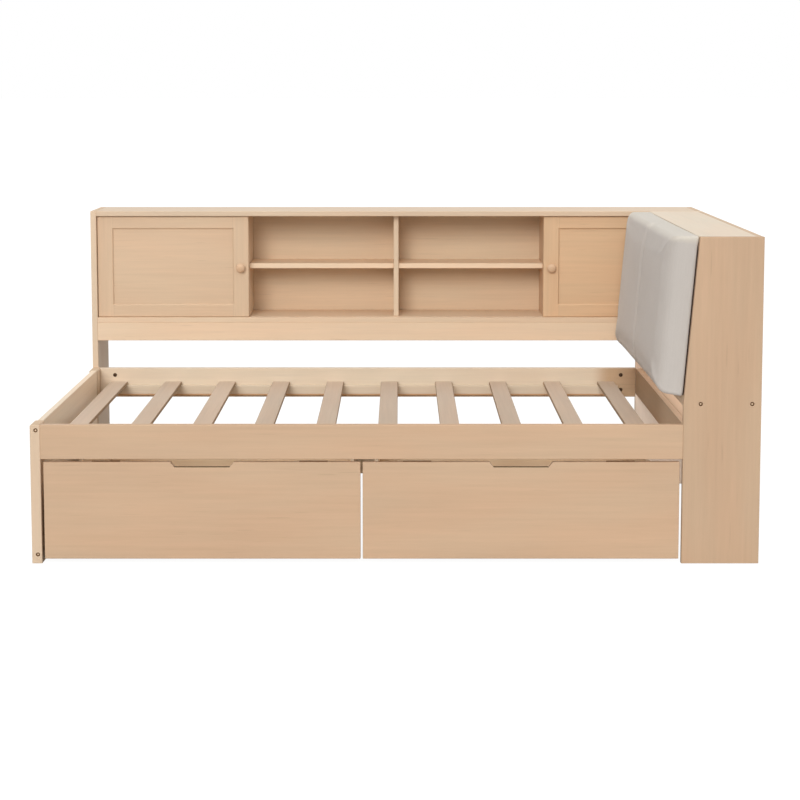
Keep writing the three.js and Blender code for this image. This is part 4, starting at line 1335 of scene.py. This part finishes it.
def notch(half_long_side, half_short_side):
    """The radius of a narrow slot at an angle."""
    def radius(angle):
        to_end = half_long_side / max(SAME_POINT, abs(math.cos(angle)))
        to_side = half_short_side / max(SAME_POINT, abs(math.sin(angle)))
        return min(to_end, to_side)
    return radius


def stacked(name, rings):
    """A closed head from rings, each a radius or a rule for one, and a height."""
    points, faces = [], []
    for radius, height in rings:
        for i in range(HEAD_SIDES):
            angle = 2 * math.pi * i / HEAD_SIDES
            reach = radius(angle) if callable(radius) else radius
            points.append((reach * math.cos(angle), reach * math.sin(angle), height))
    for level in range(len(rings) - 1):
        for i in range(HEAD_SIDES):
            a, b = level * HEAD_SIDES + i, level * HEAD_SIDES + (i + 1) % HEAD_SIDES
            faces.append((a, b, b + HEAD_SIDES, a + HEAD_SIDES))
    faces.append(list(range(HEAD_SIDES))[::-1])
    faces.append(list(range(len(points) - HEAD_SIDES, len(points))))
    head = new_piece(name, points, faces=faces)
    face_outwards(head.data, CREASE_DEG)
    return head


bolt_head = stacked("bolt_head", [
    (BOLT_RADIUS, 0), (BOLT_RADIUS, BOLT_HEIGHT - BOLT_CHAMFER),
    (BOLT_RADIUS - BOLT_CHAMFER, BOLT_HEIGHT), (hexagon(KEY_HALF), BOLT_HEIGHT),
    (hexagon(KEY_HALF - KEY_TAPER), KEY_FLOOR),
])
bolt_socket = stacked("bolt_socket", [
    (hexagon(PLUG_HALF), PLUG_LOW), (hexagon(PLUG_HALF - KEY_TAPER), PLUG_HIGH),
])
nut_end = stacked("nut_end", [
    (NUT_RADIUS, 0), (NUT_RADIUS, FLANGE_LOW), (FLANGE_RADIUS, FLANGE_LOW + KEY_TAPER),
    (FLANGE_RADIUS, FLANGE_HIGH), (FLANGE_RADIUS - NUT_CHAMFER, NUT_HEIGHT),
    (notch(SLOT_LONG, SLOT_SHORT), NUT_HEIGHT),
    (notch(SLOT_LONG - KEY_TAPER, SLOT_SHORT - KEY_TAPER), SLOT_FLOOR),
])
print("heads have", len(bolt_head.data.polygons), "and", len(nut_end.data.polygons), "faces")

# %% [markdown]
# ### Setting them out
#
# The tree reads the arrow of each point, aims the head along it, spins it and puts it
# down. The points come from the boards' own boxes, so a bolt stays in its counterbore
# when a board changes its size.

# %% Build the tree that sets them out
sheet, given = new_shape("fixings", {
    "Head": ("NodeSocketObject", None),
    "Spin": ("NodeSocketFloat", 2 * math.pi),
    "Seed": ("NodeSocketInt", 7),
})
arrow = sheet.node("GeometryNodeInputNamedAttribute", {"data_type": "FLOAT_VECTOR"}, {
    "Name": "facing",
})
aimed = sheet.node("FunctionNodeAlignRotationToVector", {"axis": "Z"}, {"Vector": arrow})
angle = sheet.node("FunctionNodeRandomValue", {"data_type": "FLOAT"}, {
    3: given["Spin"], "Seed": given["Seed"],
}, output=1)
spin = sheet.node("FunctionNodeAxisAngleToRotation", None, {"Axis": (0, 0, 1), "Angle": angle})
turned_head = sheet.node("FunctionNodeRotateRotation", {"rotation_space": "LOCAL"}, {
    "Rotation": aimed, "Rotate By": spin,
})
head = sheet.node("GeometryNodeObjectInfo", None, {"Object": given["Head"]}, output="Geometry")
placed = sheet.node("GeometryNodeInstanceOnPoints", None, {
    "Points": given["Geometry"], "Instance": head, "Rotation": turned_head,
})
fixings = close_shape(sheet, placed, given["Finish"])


def set_out(name, places, head, finish, body, spin=2 * math.pi):
    """One piece made of a head at each place: a point, and the way that it faces."""
    piece = new_piece(name, [point for point, _ in places])
    arrows = piece.data.attributes.new("facing", "FLOAT_VECTOR", "POINT")
    for item, (_, facing) in zip(arrows.data, places):
        item.vector = facing
    grow(piece, fixings, {"Head": head, "Spin": spin, "Finish": finish})
    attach(piece, body)
    print(name, "has", len(places), "heads")
    return piece


# %% Place the bolts and nuts
BOLT_SEAT_DEPTH = 0.0049
NUT_SEAT_DEPTH = 0.0129
END_BOLT_FROM_EDGE = 0.0165
RAIL_BOLT_DROPS = (0.0245, 0.078)
NUT_FROM_END = 0.053
HEADBOARD_BOLTS_FROM_BACK = (0.0275, 0.181)
FLOOR_BOARD_LEVEL = 0.485


def metal_finish(name, colour, roughness):
    material, sheet = new_finish(name)
    wear = sheet.grains(700.0, detail=3.0)
    tone = sheet.blend(0.5 + wear * 0.5, scaled(colour, 0.75), scaled(colour, 1.25))
    close_finish(sheet, {
        "Base Color": tone, "Metallic": 1.0, "Roughness": roughness + wear * 0.08,
        "Normal": sheet.bump(sheet.grains(3000.0), 0.2, FINE_DEPTH),
    })
    return material


def seated(point, facing, depth):
    """A point sunk below the face that it lies on, and the way that face looks."""
    facing = Vector(facing)
    return Vector(point) - facing * depth, facing


panel_low, panel_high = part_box("foot_panel")
bolts, nuts = [], []
for rail, post, side, way in (
    ("front_rail", "front_left_post", "headboard_front_side", -1),
    ("back_rail", "rear_left_post", "headboard_rear_side", 1),
):
    rail_low, rail_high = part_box(rail)
    post_low, post_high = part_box(post)
    side_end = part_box(side)[1].x
    outer = post_low.y if way < 0 else post_high.y
    inner = rail_high.y if way < 0 else rail_low.y
    for z in (panel_low.z + END_BOLT_FROM_EDGE, panel_high.z - END_BOLT_FROM_EDGE):
        middle = (panel_low.x + panel_high.x) / 2
        bolts.append(seated((middle, outer, z), (0, way, 0), BOLT_SEAT_DEPTH))
    for back in HEADBOARD_BOLTS_FROM_BACK:
        place = (side_end - back, outer, FLOOR_BOARD_LEVEL)
        bolts.append(seated(place, (0, way, 0), BOLT_SEAT_DEPTH))
    for drop in RAIL_BOLT_DROPS:
        z = rail_high.z - drop
        place = (post_low.x, (rail_low.y + rail_high.y) / 2, z)
        bolts.append(seated(place, (-1, 0, 0), BOLT_SEAT_DEPTH))
        for x in (rail_low.x + NUT_FROM_END, rail_high.x - NUT_FROM_END):
            nuts.append(seated((x, inner, z), (0, -way, 0), NUT_SEAT_DEPTH))
bronze = metal_finish("brown_bronze", linear(122, 92, 66), 0.45)
# Painted highlight: the socket plugs are light bronze.
socket_highlight = metal_finish("socket_highlight_bronze", linear(222, 196, 166), 0.5)
gunmetal = metal_finish("dark_steel", linear(84, 66, 52), 0.5)
set_out("frame_bolts", bolts, bolt_head, bronze, "frame")
set_out("bolt_sockets", bolts, bolt_socket, socket_highlight, "frame")
set_out("barrel_nuts", nuts, nut_end, gunmetal, "frame")

# %% [markdown]
# ## Felt strips on the drawers
#
# Two short strips of brown felt lie on the top edge of each drawer front, so that it
# doesn't knock against the rail. They repeat as well, so the same tree sets them out,
# with a strip in the place of the head and no spin. They are stuck on by hand, so no two
# lie equally far from the middle.

# %% Lay the felt strips
FELT_LENGTH = 0.085
FELT_WIDTH = 0.010
FELT_THICK = 0.002
FELT_CORNER, FELT_CORNER_STEPS = 0.002, 4
FELT_BEVEL = 0.0005
FELT_PLACES = {"left": (-0.288, 0.333), "right": (-0.311, 0.297)}

brown_felt = felt_finish("brown_felt", linear(128, 94, 64))
strip_outline = rounded_outline(
    FELT_LENGTH / 2, FELT_WIDTH / 2, FELT_CORNER, FELT_CORNER_STEPS,
)
strip = plate("felt_strip", strip_outline, 0, FELT_THICK, FELT_BEVEL)
strip.data.transform(Matrix(((0, 1, 0, 0), (0, 0, 1, 0), (1, 0, 0, 0), (0, 0, 0, 1))))
face_outwards(strip.data, WIDE_CREASE_DEG)
upwards = Vector((0, 0, 1))
for side in DRAWER_SIDES:
    low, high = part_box(f"{side}_drawer_front")
    middle = Vector(((low.x + high.x) / 2, (low.y + high.y) / 2, high.z))
    spots = [(middle + Vector((along, 0, 0)), upwards) for along in FELT_PLACES[side]]
    set_out(f"{side}_drawer_felt", spots, strip, brown_felt, f"{side}_drawer", spin=0.0)
for helper in (bolt_head, bolt_socket, nut_end, strip):
    bpy.data.objects.remove(helper)

# %% [markdown]
# ## The box of the dressed bed
#
# Last, the box of the dressed bed is printed, so that a piece that stands too far out
# shows. Only the cushion's lip may do so.

# %% Print the box of the dressed bed
low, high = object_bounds()
print("visual box", [round(v, 4) for v in low], [round(v, 4) for v in high])
